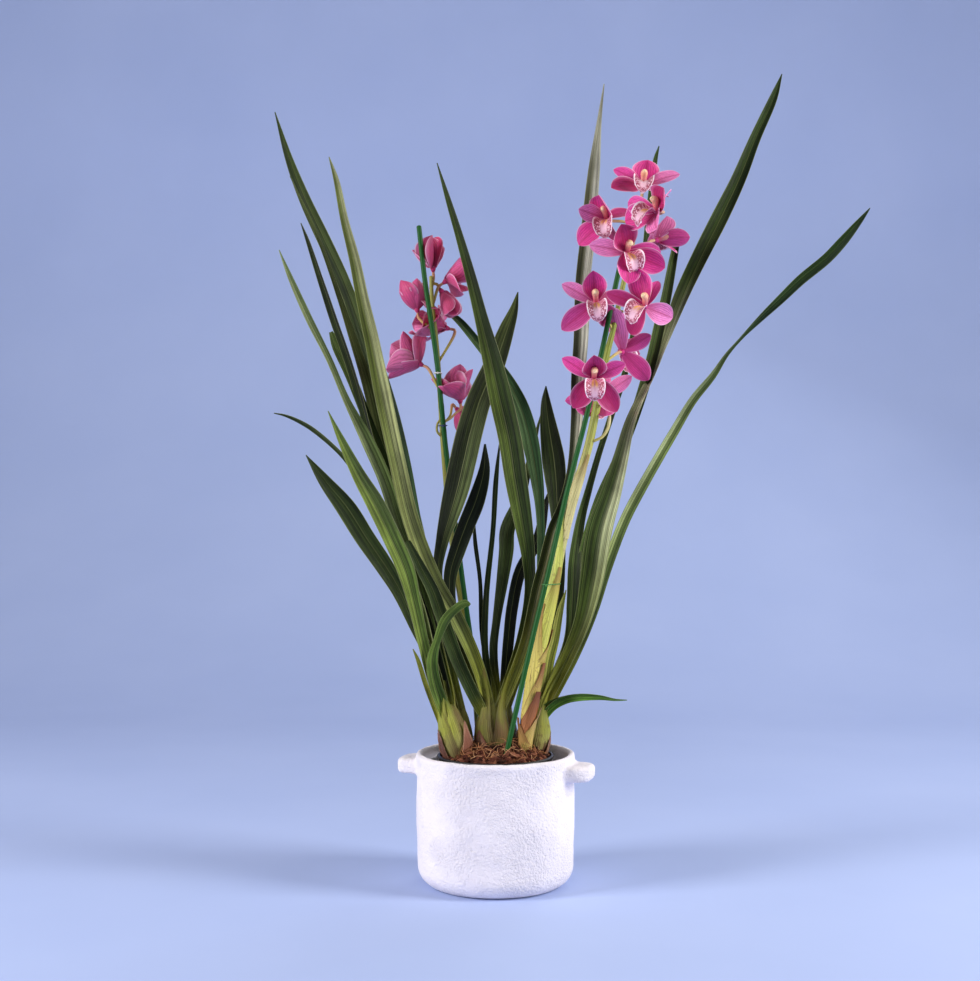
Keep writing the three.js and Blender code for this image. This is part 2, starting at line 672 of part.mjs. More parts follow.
function bractBody(route) {
  const stations = leafStations({ route, depth: BRACT.depth, roll: 0 });
  return blade(stations, BRACT.thickness);
}

function makeSpike({ route, bracts }, blooms) {
  return fuse([stemBody(route), ...blooms.map(stalkBody), ...bracts.map(bractBody)]);
}

// Degrees between the way the flower faces and a tepal, at a share of its length: open 1 lies
// nearly flat and open 0.15 is a bud whose tips meet.
function leanOf(open, share) {
  const flat = THREE.MathUtils.lerp(76, 92, share);
  const bud = THREE.MathUtils.lerp(50, -48, share);
  return THREE.MathUtils.degToRad(THREE.MathUtils.lerp(bud, flat, (open - 0.15) / 0.85));
}

// Tepals by direction in the flower's plane: petal, top sepal, petal and two lower sepals.
const TEPALS = [
  { direction: 26, length: 37, width: 16 },
  { direction: 90, length: 35, width: 22 },
  { direction: 154, length: 37, width: 16 },
  { direction: 232, length: 39, width: 20 },
  { direction: 308, length: 39, width: 20 },
];
const TEPAL_SHAPE = [0.66, 1, 0.2];

function onRing(degrees, radius, z) {
  const angle = THREE.MathUtils.degToRad(degrees);
  return new THREE.Vector3(radius * Math.cos(angle), radius * Math.sin(angle), z);
}

// A tepal's stations past the hub, by its direction.
function tepalStations(direction, length, width, open) {
  const step = length / TEPAL_SHAPE.length;
  const out = onRing(direction, 1, 0);
  const side = onRing(direction - 90, 1, 0);
  const centre = onRing(direction, HUB.radius, 0);
  return TEPAL_SHAPE.map((share, i) => {
    const lean = leanOf(open, i / (TEPAL_SHAPE.length - 1));
    const along = out.clone().multiplyScalar(Math.sin(lean));
    along.z = Math.cos(lean);
    centre.addScaledVector(along, step);
    return { centre: centre.clone(), along, side, half: (share * width) / 2, fold: TEPAL.fold };
  });
}

// Five tepals on a hub as one closed body. The hub's ring has a point in each tepal's middle
// and one in each notch, so each tepal starts on three of them.
function bloomBody(open) {
  const stretch = open < 1 ? TEPAL.budLength : 1;
  const narrow = open < 1 ? TEPAL.budWidth : 1;
  const positions = [];
  const faces = [];
  const add = (point) => {
    positions.push(point.x, point.y, point.z);
    return positions.length / 3 - 1;
  };
  const angles = TEPALS.flatMap(({ direction }, i) => {
    const next = TEPALS[(i + 1) % TEPALS.length].direction;
    return [direction, (direction + next + (next < direction ? 360 : 0)) / 2];
  });
  const heights = [HUB.front, HUB.front - TEPAL.thickness];
  const [front, back] = heights.map((z) => angles.map((at) => add(onRing(at, HUB.radius, z))));
  const foot = angles.map((at) => add(onRing(at, STALK_RADIUS + 0.4, HUB.back)));
  const middle = add(new THREE.Vector3(0, 0, HUB.front));
  const count = angles.length;
  for (let k = 0; k < count; k += 1) {
    const next = (k + 1) % count;
    faces.push(middle, front[k], front[next]);
    faces.push(back[k], foot[k], foot[next], back[k], foot[next], back[next]);
    if (k > 0 && k < count - 1) {
      faces.push(foot[0], foot[next], foot[k]);
    }
  }
  TEPALS.forEach(({ direction, length, width }, i) => {
    const ring = [(2 * i + 1) % count, 2 * i, (2 * i + count - 1) % count];
    let before = [ring.map((k) => front[k]), ring.map((k) => back[k])];
    for (const station of tepalStations(direction, length * stretch, width * narrow, open)) {
      const { centre, along, side, half, fold } = station;
      const out = new THREE.Vector3().crossVectors(side, along);
      const here = [0.5, -0.5].map((face) => [-1, 0, 1].map((column) => {
        const point = centre.clone().addScaledVector(side, column * half);
        const rise = Math.abs(column) * fold * half + face * TEPAL.thickness;
        return add(point.addScaledVector(out, rise));
      }));
      const [[a, b], [p, q]] = [before, here];
      for (const c of [0, 1]) {
        faces.push(a[c], a[c + 1], p[c + 1], a[c], p[c + 1], p[c]);
        faces.push(b[c], q[c + 1], b[c + 1], b[c], q[c], q[c + 1]);
      }
      faces.push(a[0], p[0], q[0], a[0], q[0], b[0]);
      faces.push(a[2], b[2], q[2], a[2], q[2], p[2]);
      before = here;
    }
    const [tip, under] = before;
    for (const c of [0, 1]) {
      faces.push(tip[c], under[c + 1], under[c], tip[c], tip[c + 1], under[c + 1]);
    }
  });
  return indexed(positions, faces);
}

function makeBloom(bloom) {
  return solidOf(bloomBody(bloom.open ?? 1).applyMatrix4(bloomFrame(bloom)));
}

// The lip hangs out of the flower's middle below the column: a trough with raised sides that
// narrows and then opens into a rolled-back front lobe.
const LIP = {
  line: [[-0.6, 2.6], [-3.5, 9], [-6.5, 14], [-11, 17.5], [-16, 17], [-19, 13.5]],
  halves: [3, 6.5, 6.5, 6, 7, 3],
  folds: [0.5, 0.75, 0.7, 0.2, 0.1, 0],
};
const COLUMN = { line: [[1.2, HUB.front + GAP], [1.8, 7], [0.6, 13]], radii: [2.4, 2.6, 3.1] };

function makeLip(bloom) {
  const points = LIP.line.map(([y, z]) => new THREE.Vector3(0, y, z));
  const curve = new THREE.CatmullRomCurve3(points);
  const stations = points.map((centre, i) => ({
    centre,
    along: curve.getTangent(i / (points.length - 1)),
    side: new THREE.Vector3(-1, 0, 0),
    half: LIP.halves[i],
    fold: LIP.folds[i],
  }));
  const column = rod(COLUMN.line.map(([y, z]) => new THREE.Vector3(0, y, z)), COLUMN.radii, 6);
  const frame = bloomFrame(bloom);
  return fuse([column, blade(stations, 1)].map((part) => part.applyMatrix4(frame)));
}

// A tie is a loop of wire that hugs the stake and the stem at one height.
function makeTie({ stake, spike, row }) {
  const stops = { stake: STAKES[stake], spike: SPIKES[spike].route };
  const rods = Object.values(stops).map((route) => crossing(route, row));
  const reach = TIE.wire + GAP;
  const points = Array.from({ length: TIE.steps }, (_, i) => {
    const angle = (2 * Math.PI * i) / TIE.steps;
    const way = new THREE.Vector3(Math.cos(angle), Math.sin(angle), 0);
    const far = rods.reduce((best, one) => (
      one.centre.dot(way) + one.radius > best.centre.dot(way) + best.radius ? one : best));
    return far.centre.clone().addScaledVector(way, far.radius + reach);
  });
  return loop(points, TIE.wire, TIE.sides);
}

// Where a rod's route passes a row, and its radius there seen from above.
function crossing(route, row) {
  const at = route.findIndex((stop, i) => i > 0 && stop[1] <= row);
  const [low, high] = [route[at - 1], route[at]];
  const share = (row - low[1]) / (high[1] - low[1]);
  const stop = low.map((value, i) => THREE.MathUtils.lerp(value, high[i], share));
  const centre = place(stop[0], row, stop[2]);
  centre.z = place(stop[0], row, 0).z;
  return { centre, radius: (stop[3] ?? STAKE_RADIUS) * 1.06 };
}

// A closed ring of wire through points.
function loop(points, radius, sides) {
  const count = points.length;
  const positions = [];
  const faces = [];
  points.forEach((point, i) => {
    const along = points[(i + 1) % count].clone().sub(points[(i + count - 1) % count]).normalize();
    const up = new THREE.Vector3(0, 0, 1);
    const side = new THREE.Vector3().crossVectors(along, up);
    for (let k = 0; k < sides; k += 1) {
      const angle = (2 * Math.PI * k) / sides;
      const rim = point.clone();
      rim.addScaledVector(side, radius * Math.cos(angle));
      rim.addScaledVector(up, radius * Math.sin(angle));
      positions.push(rim.x, rim.y, rim.z);
      const a = i * sides;
      const b = ((i + 1) % count) * sides;
      const next = (k + 1) % sides;
      faces.push(a + k, b + next, a + next, a + k, b + k, b + next);
    }
  });
  return solidOf(indexed(positions, faces));
}

// ---- the object -----------------------------------------------------------------------------

const orchid = new THREE.Group();

function addPiece(name, solid, colour, roughness) {
  const material = new THREE.MeshStandardMaterial({ color: colour, roughness, metalness: 0 });
  const mesh = new THREE.Mesh(geometryOf(largest(solid)), material);
  mesh.name = name;
  orchid.add(mesh);
}

addPiece('pot', makePot(), 0xf2f0f6, 0.85);
addPiece('growing_pot', makeCup(), 0x151517, 0.5);
addPiece('growing_medium', makeMedium(), 0x6e4534, 0.95);
for (const [name, route] of Object.entries(STAKES)) {
  addPiece(name, solidOf(stakeBody(route)), 0x23763a, 0.45);
}
addPiece('spike_left', makeSpike(SPIKES.spike_left, LEFT_BLOOMS), 0x7d8a33, 0.5);
addPiece('spike_right', makeSpike(SPIKES.spike_right, RIGHT_BLOOMS), 0xb7b04a, 0.55);
for (const tie of TIES) {
  addPiece(tie.name, makeTie(tie), tie.colour, 0.4);
}
for (const [name, shoot] of Object.entries(SHOOTS)) {
  addPiece(name, makeShoot(shoot), shoot.colour, 0.45);
}
RIGHT_BLOOMS.forEach((bloom, i) => {
  addPiece(`bloom_right_${i + 1}`, makeBloom(bloom), 0xd2528f, 0.6);
  addPiece(`lip_right_${i + 1}`, makeLip(bloom), 0xf0c9d6, 0.6);
});
LEFT_BLOOMS.forEach((bloom, i) => {
  addPiece(`bloom_left_${i + 1}`, makeBloom(bloom), 0xb9406f, 0.6);
});

export default orchid;
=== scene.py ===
# A potted Cymbidium orchid with two flower spikes in a white ceramic pot with two lugs.
# Metres in Blender, but sizes and routes below are in millimetres and picture units.
import math
import random

import bpy
from mathutils import Matrix, Vector, noise


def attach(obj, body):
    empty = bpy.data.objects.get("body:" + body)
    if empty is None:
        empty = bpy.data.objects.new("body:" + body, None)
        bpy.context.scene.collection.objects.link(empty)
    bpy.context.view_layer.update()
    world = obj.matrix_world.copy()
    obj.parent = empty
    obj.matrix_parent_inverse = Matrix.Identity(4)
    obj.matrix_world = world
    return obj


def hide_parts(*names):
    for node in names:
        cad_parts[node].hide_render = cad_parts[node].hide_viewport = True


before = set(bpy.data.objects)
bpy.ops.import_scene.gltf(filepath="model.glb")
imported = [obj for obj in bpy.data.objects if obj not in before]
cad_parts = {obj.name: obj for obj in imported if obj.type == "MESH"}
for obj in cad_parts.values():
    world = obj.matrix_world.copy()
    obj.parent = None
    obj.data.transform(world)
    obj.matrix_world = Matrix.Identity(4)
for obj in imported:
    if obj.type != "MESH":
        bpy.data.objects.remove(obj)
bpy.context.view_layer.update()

MM = 0.001

# ---- driving dimensions, as in the solids (mm) ----------------------------------------------

POT = dict(height=145, rim=88, belly=87, low=86, foot=66, corner=22, wall=8.5, floor=10,
           edge_round=4.2)
LUG = dict(directions=(-17, 163), root=70, reach=110.5, half_width=27.5, tip_half_width=20.5,
           thickness=18, middle=127, corner=11, inset=3.8)
CUP = dict(rim=63, foot=50, top=141.8, wall=1.4, roll=2.6)
MEDIUM = dict(edge=137, crown=19, relief=2.2, chips=420, fibres=340)
STAKE_RADIUS = 3
LEAF = dict(thickness=0.9, fold=0.4)
TEPAL_THICKNESS = 0.7
GAP = 0.35

# Routes are read in the front view: column and row of a picture grow to the right and down, and
# depth grows away from the viewer.
VIEW = dict(distance=1716, focal=1560, column=490, row=490.5, x=-6.05, z=431.8)
PICTURE = 981
SENSOR = 36
AWAY = Vector((0, 1, 0))
UP = Vector((0, 0, 1))

# ---- routes and shapes of the plant -----------------------------------------------------------


def leaf(route, depth, roll, *colours):
    """A leaf from tip to base: route as (column, row, width seen), depth, roll in degrees about
    its own length, and the colours of its left and right halves. These colours are partly the
    leaf's own and partly painted light and shade: one half painted lit and the other shaded,
    near-white grey-green as painted highlights, and near-black where a leaf lies in shadow."""
    return dict(route=route[::-1], depth=depth[::-1], roll=roll[::-1],
                colours=[pair.split() for pair in reversed(colours)])


# Bulbs: foot and top in the picture, depth, greatest radius (mm), and how far the feet of its
# leaves lie in shade.
BULBS = {
    "shoot_left_front": dict(foot=(460, 762), top=(446, 688), depth=-15, radius=15, shaded=0.0),
    "shoot_left_back": dict(foot=(464, 760), top=(460, 694), depth=13, radius=12, shaded=0.5),
    "shoot_centre_front": dict(foot=(492, 760), top=(492, 688), depth=-6, radius=15, shaded=0.62),
    "shoot_centre_back": dict(foot=(503, 756), top=(501, 694), depth=32, radius=13, shaded=0.6),
    "shoot_right": dict(foot=(533, 760), top=(533, 692), depth=14, radius=15, shaded=0.1),
}
# The leaves of each shoot, each under a few words that tell it from the others. Their colours
# hold painted light and shade: one half of a leaf painted lit and the other shaded, pale
# painted highlights, and near-black for leaves in shadow.
LEAVES = {
    "shoot_left_front": [
        # front light
        leaf([(328, 411, 1), (341, 440, 8), (358, 475, 15), (375, 505, 20), (392, 540, 20), (405, 570, 19),
              (413, 600, 15), (422, 640, 12), (432, 680, 12), (447, 722, 11)],
             [-105, -70, -38, -16], [20], "7d9148 5d7434"),
        # broad dark
        leaf([(306, 455, 1), (325, 480, 14), (347, 507, 22), (366, 537, 22), (385, 565, 20), (400, 590, 17),
              (416, 625, 14), (432, 660, 12), (448, 715, 11)],
             [-60, -32, -16, -15], [-15], "44522a 38461f", "3c4a24 26341a"),
        # thin arching
        leaf([(274, 413, 1), (285, 415, 3), (300, 421, 5), (315, 430, 6), (343, 455, 6), (362, 480, 8),
              (385, 520, 9), (405, 560, 10), (422, 605, 11), (447, 710, 11)],
             [-44, -24, -14, -15], [-50], "3c4a24 566436"),
        # far pale
        leaf([(279, 250, 1), (291, 280, 6), (309, 320, 8), (329, 360, 7), (346, 400, 8), (366, 440, 14),
              (384, 480, 15), (400, 530, 15), (412, 560, 14), (425, 610, 13), (448, 712, 12)],
             [-32, -16, -12, -14], [25], "9aa880 6d8052", "8a9a68 5d7038"),
        # dark between
        leaf([(412, 575, 1), (420, 600, 8), (432, 640, 11), (450, 710, 11)],
             [-12, -13, -15], [0], "1a2212 1a2212"),
        # curled front
        leaf([(470, 605, 3), (465, 603, 8), (455, 609, 9), (445, 620, 10), (437, 640, 8), (432, 660, 12),
              (434, 680, 13), (440, 700, 13), (448, 722, 11)],
             [-30, -36, -30, -17], [10], "6a8440 445e26"),
        # small hook
        leaf([(413, 649, 1), (418, 660, 4), (426, 685, 5), (440, 722, 5)],
             [-22, -18, -15], [0], "8a8f3c 8a8f3c"),
    ],
    "shoot_left_back": [
        # tallest left
        leaf([(275, 112, 1), (290, 160, 9), (306, 200, 13), (325, 240, 15), (345, 283, 15), (360, 325, 15),
              (380, 390, 16), (400, 460, 17), (425, 560, 16), (445, 640, 14), (461, 720, 11)],
             [120, 92, 58, 13], [-20], "34441f 42522a", "3a4a24 55633a"),
        # light beside
        leaf([(290, 176, 1), (318, 238, 4), (340, 300, 6), (353, 340, 9), (367, 385, 12), (380, 440, 12),
              (398, 500, 12), (425, 590, 12), (460, 716, 11)],
             [70, 52, 36, 13], [25], "4c5a30 5c6a3a", "9aa86e 5c683c"),
        # blue green
        leaf([(370, 330, 2), (381, 370, 9), (392, 412, 13), (403, 460, 14), (416, 530, 14), (430, 590, 13),
              (461, 716, 11)],
             [34, 26, 18, 13], [15], "4c6a48 3a5638"),
        # dark narrow
        leaf([(301, 223, 1), (308, 240, 5), (321.5, 280, 8), (335, 320, 10), (349, 360, 10), (361, 400, 10),
              (372, 440, 9), (385, 480, 11), (403, 525, 12), (420, 570, 12), (437, 630, 12),
              (460, 718, 11)],
             [52, 36, 22, 13], [-40], "2a351c 161d0e"),
        # short blunt
        leaf([(331, 332, 4), (336, 345, 9), (350, 375, 10), (366, 415, 10), (388, 470, 10), (415, 550, 10),
              (437, 625, 10), (460, 718, 10)],
             [44, 36, 26, 13], [0], "566a34 3c4e22"),
    ],
    "shoot_centre_front": [
        # big left
        leaf([(329, 157, 1), (336, 180, 6), (344, 220, 9), (354, 260, 12), (362, 300, 14), (371, 340, 16),
              (381, 390, 18), (396, 460, 18), (410, 520, 18), (433, 580, 18), (456, 620, 16),
              (476, 665, 14), (491, 718, 12)],
             [-34, -26, -18, -14, -8], [20], "7c8850 b4ba8c", "56622e b0b686", "949e66 5e6838",
             "6c7a3a 3a461c"),
        # cut end
        leaf([(408, 541, 6), (420, 565, 11), (433, 590, 13), (442, 615, 14), (458, 660, 14), (477, 700, 13),
              (491, 724, 11)],
             [-28, -22, -16, -8], [-10], "43552a 2c3a1c"),
        # tall centre
        leaf([(437, 163, 1), (448, 200, 6), (460, 240, 9), (471, 280, 12), (481, 320, 15), (491, 360, 21),
              (500, 400, 25), (509, 440, 25), (515, 480, 24), (522, 520, 20), (528, 560, 14),
              (529, 590, 11), (520, 640, 10), (497, 712, 11)],
             [-62, -42, -24, -12, 2, -6], [15], "40522a 34431f", "5b6c32 36461e", "44552a 2a371a"),
        # ribbed wide
        leaf([(518, 292, 1), (514, 310, 9), (507, 330, 16), (495, 365, 22), (480, 400, 26), (471, 430, 28),
              (464, 460, 28), (457, 490, 26), (450, 515, 21), (443, 540, 14), (438, 575, 10),
              (447, 612, 10), (467, 660, 11), (490, 718, 11)],
             [30, 14, 2, -2, -3, -8], [-10], "4e5a30 222b14", "1e2612 4c5836", "1c2410 343e22"),
        # black right lit
        leaf([(485, 444, 2), (484, 470, 12), (476, 500, 18), (466, 525, 18), (457, 550, 17), (450, 575, 14),
              (451, 605, 11), (465, 650, 11), (490, 714, 11)],
             [6, 5, 2, -6], [10], "141c0f 222c18"),
        # tallest pale
        leaf([(604, 84, 1), (599, 121, 5), (593, 174, 13), (586, 244, 16), (582, 282, 16), (580, 340, 16),
              (577, 380, 15), (576, 420, 13), (571, 470, 10), (563, 505, 12), (553, 530, 14),
              (545, 560, 14), (537, 590, 14), (524, 645, 13), (496, 716, 12)],
             [100, 78, 56, 38, 4, -7, -7, -6], [15], "c2c2ba 8c8c80", "4a4c38 bfc0bd", "2a2e1c b8b9b6",
             "2c3120 b0b0a4", "3a4422 8f8e6c", "3c4822 4a5628"),
    ],
    "shoot_centre_back": [
        # thin left
        leaf([(474, 515, 1), (475, 540, 4), (480, 580, 4), (483, 640, 5), (499, 712, 6)],
             [30, 30, 32], [0], "1c2612 1c2612"),
        # thin middle
        leaf([(500, 440, 1), (496, 480, 5), (493, 530, 5), (486, 600, 6), (486, 660, 7), (500, 714, 7)],
             [22, 26, 30, 32], [0], "222e16 33421f"),
        # blue green centre
        leaf([(440, 307, 1), (458, 320, 7), (477, 342, 9), (496, 365, 12), (511, 387, 14), (522, 410, 16),
              (530, 440, 17), (537, 480, 13), (540, 510, 9), (541, 550, 8), (538, 600, 8), (522, 660, 9),
              (503, 716, 10)],
             [62, 44, 26, 24, 28, 32], [0], "6a8a5e 3c5c3a", "5c7c54 36543a"),
        # black light tip
        leaf([(541, 414, 1), (535, 440, 5), (528, 470, 8), (520, 500, 12), (508, 530, 16), (507, 550, 16),
              (503, 580, 13), (497, 620, 9), (494, 650, 9), (500, 714, 10)],
             [60, 44, 34, 30, 32], [-15], "5a6c3c 4a5a30", "202a16 1e2814"),
        # black right
        leaf([(549, 490, 1), (544, 510, 8), (537, 540, 12), (520, 570, 13), (512, 605, 13), (508, 640, 12),
              (502, 712, 11)],
             [60, 48, 38, 32], [15], "161e10 12180c"),
    ],
    "shoot_right": [
        # dark broad right
        leaf([(546, 386, 1), (546, 400, 9), (548, 420, 16), (551, 440, 21), (554, 460, 24), (556, 480, 22),
              (557, 500, 17), (559, 530, 13), (560, 560, 12), (556, 620, 11), (535, 714, 11)],
             [34, 26, 20, 14], [-10], "32401c 1c240e", "44561f 232e12"),
        # behind blooms
        leaf([(659, 146, 1), (655, 160, 5), (650, 200, 7), (644, 260, 8), (634, 330, 8), (624, 375, 7),
              (612, 412, 7), (598, 455, 7), (588, 490, 8), (580, 520, 10), (574, 560, 14), (572, 600, 15),
              (568, 640, 13), (538, 714, 12)],
             [110, 88, 62, 30, 14, 14], [20], "3e5628 2c3e1a", "4c5e34 34441f"),
        # upright right
        leaf([(678, 228, 1), (677, 240, 6), (673, 262, 9), (666, 300, 11), (660, 325, 12), (652, 360, 12),
              (637, 410, 11), (618, 460, 11), (600, 500, 11), (585, 550, 11), (580, 590, 11),
              (575, 630, 11), (538, 716, 12)],
             [46, 36, 26, 18, 14], [-15], "5a7238 2b3c18", "48602a 2e4019"),
        # tallest right
        leaf([(782, 74, 1), (773, 100, 9), (755, 140, 12), (739, 180, 16), (720, 220, 19), (700, 260, 19),
              (682, 300, 18), (665, 345, 10), (655, 370, 8), (643, 395, 9), (631, 423, 12), (622, 458, 17),
              (612, 494, 22), (601, 530, 27), (593, 580, 25), (584, 620, 18), (572, 650, 15),
              (539, 716, 13)],
             [110, 88, 62, 44, 10, -4, 4, 14], [-20, -20, -30, -58, -40, -20, -20, -20], "34491f 24341a",
             "3a4f22 22311a", "34461f 3c4a28", "a8b08c d8dcc6", "526436 ced6b4", "5a6c30 b0ba84",
             "4c5e28 66783a"),
        # long arching
        leaf([(870, 208, 1), (860, 220, 6), (843, 240, 11), (826, 258, 12), (800, 279, 12), (780, 298, 11),
              (760, 317, 9), (740, 338, 5), (726, 354, 6), (712, 375, 9), (692, 400, 10), (674, 430, 11),
              (645, 480, 12), (624, 520, 12), (605, 570, 12), (592, 610, 12), (575, 650, 12),
              (540, 716, 12)],
             [-70, -30, 4, 16, 16, 14], [20, 20, 40, 62, 30, 20, 20, 20], "3a5220 2c401a", "37501f 30461c",
             "b0be90 6a7c48", "9cac70 5e7240", "4a5c28 43561f"),
        # short sheath
        leaf([(566, 590, 1), (560, 610, 7), (554, 640, 10), (549, 660, 11), (545, 685, 11), (536, 722, 11)],
             [2, 4, 8, 13], [15], "a9ac5a 86903c"),
        # low arching
        leaf([(627, 700, 1), (615, 699.5, 3), (600, 697, 6), (580, 696.5, 9), (565, 699, 10),
              (552, 706, 10), (536, 724, 9)],
             [-45, -22, 0, 14], [25], "4d7a30 5f8f38"),
    ],
}

# Stakes and stems from foot to tip, as (column, row, depth), and a stem's radius (mm).
STAKES = {
    "stake_left": [(489, 850, 14), (477, 690, 14), (462, 576, 14), (446, 450, 14), (436.5, 359, 14),
                   (424.7, 278.7, 14), (419, 227, 14)],
    "stake_right": [(484, 851, -36), (507, 751, -34), (533, 636.5, -30), (548.5, 572, -27), (566, 496, -26),
                    (586, 418, -26), (603, 346, -26), (617, 279, -26), (628, 232, -26)],
}
SPIKES = {
    "spike_left": [(482, 782, 25, 4), (480, 740, 25, 4), (476, 690, 25, 4), (462, 600, 25, 3.6),
                   (450, 520, 25, 3.4), (444, 455, 25, 3.1), (441, 410, 25, 2.9), (437, 350, 25, 2.7),
                   (432, 300, 26, 2.4), (431, 277, 27, 2.1)],
    "spike_right": [(524, 776, -13, 6), (526, 735, -13, 6.6), (531, 695, -13, 7.4), (540, 645, -13, 7.6),
                    (549, 605, -13, 7), (558, 560, -13, 6), (568, 520, -13, 4.4), (577, 485, -13, 5),
                    (588, 448, -14, 4.7), (596, 410, -14, 4.5), (605, 362, -14, 3.9), (613, 330, -14, 3),
                    (622, 290, -15, 2.8), (631, 250, -16, 2.6), (640, 210, -18, 2.4)],
}

# Blooms: hub as (column, row, depth), the way the flower faces and which way its top sepal
# points, as in the solids. Tepals named in "tips" reach to a point of the picture, nearer (-1)
# or farther (1) than the hub, some at a distance of their own. Tepals named in "shade" have
# painted shade mixed into their colour when their code is darker, and painted light when it is
# paler.
# Painted shade and painted light for single tepals: a dark crimson for a tepal in shadow and a pale pink
# for one in full light.
PAINTED_SHADE_ROSE = "9c1c52"
PAINTED_LIGHT_ROSE = "f794cc"
RIGHT_BLOOMS = [
    dict(hub=(643, 186, -24), face=(0, -0.8, 0.6), top=(0.1, 0, 1), start=(639, 214, -18), size=1.12,
         tips=dict(left=(613.5, 169.4, 1), right=(680, 174.5, 1), dorsal=(648, 160, 1),
                   low_left=(611, 188, -1), low_right=(666, 196, 1)),
         shade=dict(low_left=PAINTED_SHADE_ROSE, low_right=PAINTED_SHADE_ROSE, right=PAINTED_LIGHT_ROSE)),
    dict(hub=(656, 211, -88), face=(-0.8, -0.6, 0), top=(0, 0, 1), start=(636, 230, -17),
         via=[(648, 218, -46)], lip_face=(-0.7, -0.65, 0.3), lip_top=(0.6, -0.1, 0.8), size=1.2,
         tips=dict(dorsal=(664, 188, -1, 33), right=(671, 191, 1), left=(628, 202, 1),
                   low_left=(625, 221, 1), low_right=(657, 229, -1, 36)),
         shade=dict(dorsal=PAINTED_SHADE_ROSE, low_right=PAINTED_LIGHT_ROSE, right=PAINTED_LIGHT_ROSE)),
    dict(hub=(607, 219, -35), face=(-0.6, -0.8, 0.05), top=(-0.1, 0, 1), start=(635, 236, -16.5),
         via=[(627, 223, -21)], lip_face=(-0.35, -0.93, 0.05), size=1.15,
         tips=dict(left=(578.5, 209, -1), dorsal=(599, 195, -1), low_left=(578.5, 245, -1),
                   right=(632, 211, 1), low_right=(618, 243, 1)),
         shade=dict(right=PAINTED_SHADE_ROSE, left=PAINTED_LIGHT_ROSE, low_right=PAINTED_SHADE_ROSE)),
    dict(hub=(657, 240, 0), face=(0.65, 0.6, 0.2), top=(0.1, 0, 1), start=(630, 254, -16),
         lip_top=(1, 0, 0.3), size=1.2,
         tips=dict(right=(690, 237, -1), dorsal=(667, 216, 1), left=(648, 227, 1), low_left=(672, 247, 1),
                   low_right=(646, 252, 1)),
         shade=dict(left=PAINTED_SHADE_ROSE, low_right=PAINTED_SHADE_ROSE, dorsal=PAINTED_LIGHT_ROSE)),
    dict(hub=(627, 252, -58), face=(0.3, -0.95, -0.1), top=(-0.2, 0, 1), start=(624, 283, -15),
         via=[(632, 268, -30)], size=1.15,
         tips=dict(left=(589, 245, 1), low_left=(628, 284, -1), right=(661, 252, 1),
                   low_right=(665, 268, 1), dorsal=(621, 224, -1)),
         shade=dict(dorsal=PAINTED_SHADE_ROSE, left=PAINTED_LIGHT_ROSE)),
    dict(hub=(596, 302, -40), face=(-0.05, -1, 0.05), top=(-0.1, 0, 1), start=(613, 330, -14),
         tips=dict(left=(561.8, 284, -1), dorsal=(593, 270.5, -1), low_left=(561.5, 330, -1),
                   right=(622, 296, 1), low_right=(612, 324, 1)),
         shade=dict(right=PAINTED_SHADE_ROSE, low_right=PAINTED_SHADE_ROSE, left=PAINTED_LIGHT_ROSE, low_left="b84488")),
    dict(hub=(645, 306, -64), face=(-0.4, -0.9, 0), top=(-0.1, 0, 1), start=(617, 312, -14.5),
         via=[(633, 310, -36)], lip_face=(-0.5, -0.85, 0.15), lip_top=(0.55, 0, 1),
         tips=dict(left=(606, 293, 1), dorsal=(637, 268, -1), low_left=(630, 334, 1),
                   low_right=(672.6, 318, 1), right=(658, 281, 1)),
         shade=dict(left=PAINTED_SHADE_ROSE, low_left=PAINTED_SHADE_ROSE, low_right=PAINTED_LIGHT_ROSE)),
    dict(hub=(622, 352, 12), face=(0.4, 0.9, 0.1), top=(-0.2, 0, 1), start=(605, 362, -14),
         tips=dict(dorsal=(612, 307, -1, 62), left=(651, 335, -1), low_left=(649, 380, -1),
                   right=(634, 338, 1), low_right=(640, 354, 1)),
         shade=dict(dorsal=PAINTED_LIGHT_ROSE, right=PAINTED_SHADE_ROSE, low_right=PAINTED_SHADE_ROSE)),
    dict(hub=(594, 378, -48), face=(0, -1, 0.1), top=(0, 0, 1), start=(596, 410, -14),
         via=[(605, 396, -30)],
         lip_face=(0, -1, -0.15),
         tips=dict(left=(562, 358, -1), right=(625.5, 363.7, -1), dorsal=(594, 355, -1),
                   low_left=(573, 408, -1), low_right=(617, 412, -1)),
         shade=dict(low_left=PAINTED_SHADE_ROSE, low_right=PAINTED_SHADE_ROSE, dorsal="b83070")),
    dict(hub=(600, 396, 8), face=(0, 1, -0.2), top=(0, 0, 1), start=(594, 418, -14),
         via=[(600, 412, -6)],
         tips=dict(left=(632, 376, 1), right=(565, 401, 1), low_right=(578, 412, -1),
                   low_left=(606, 416, -1)),
         shade=dict(left=PAINTED_LIGHT_ROSE)),
]
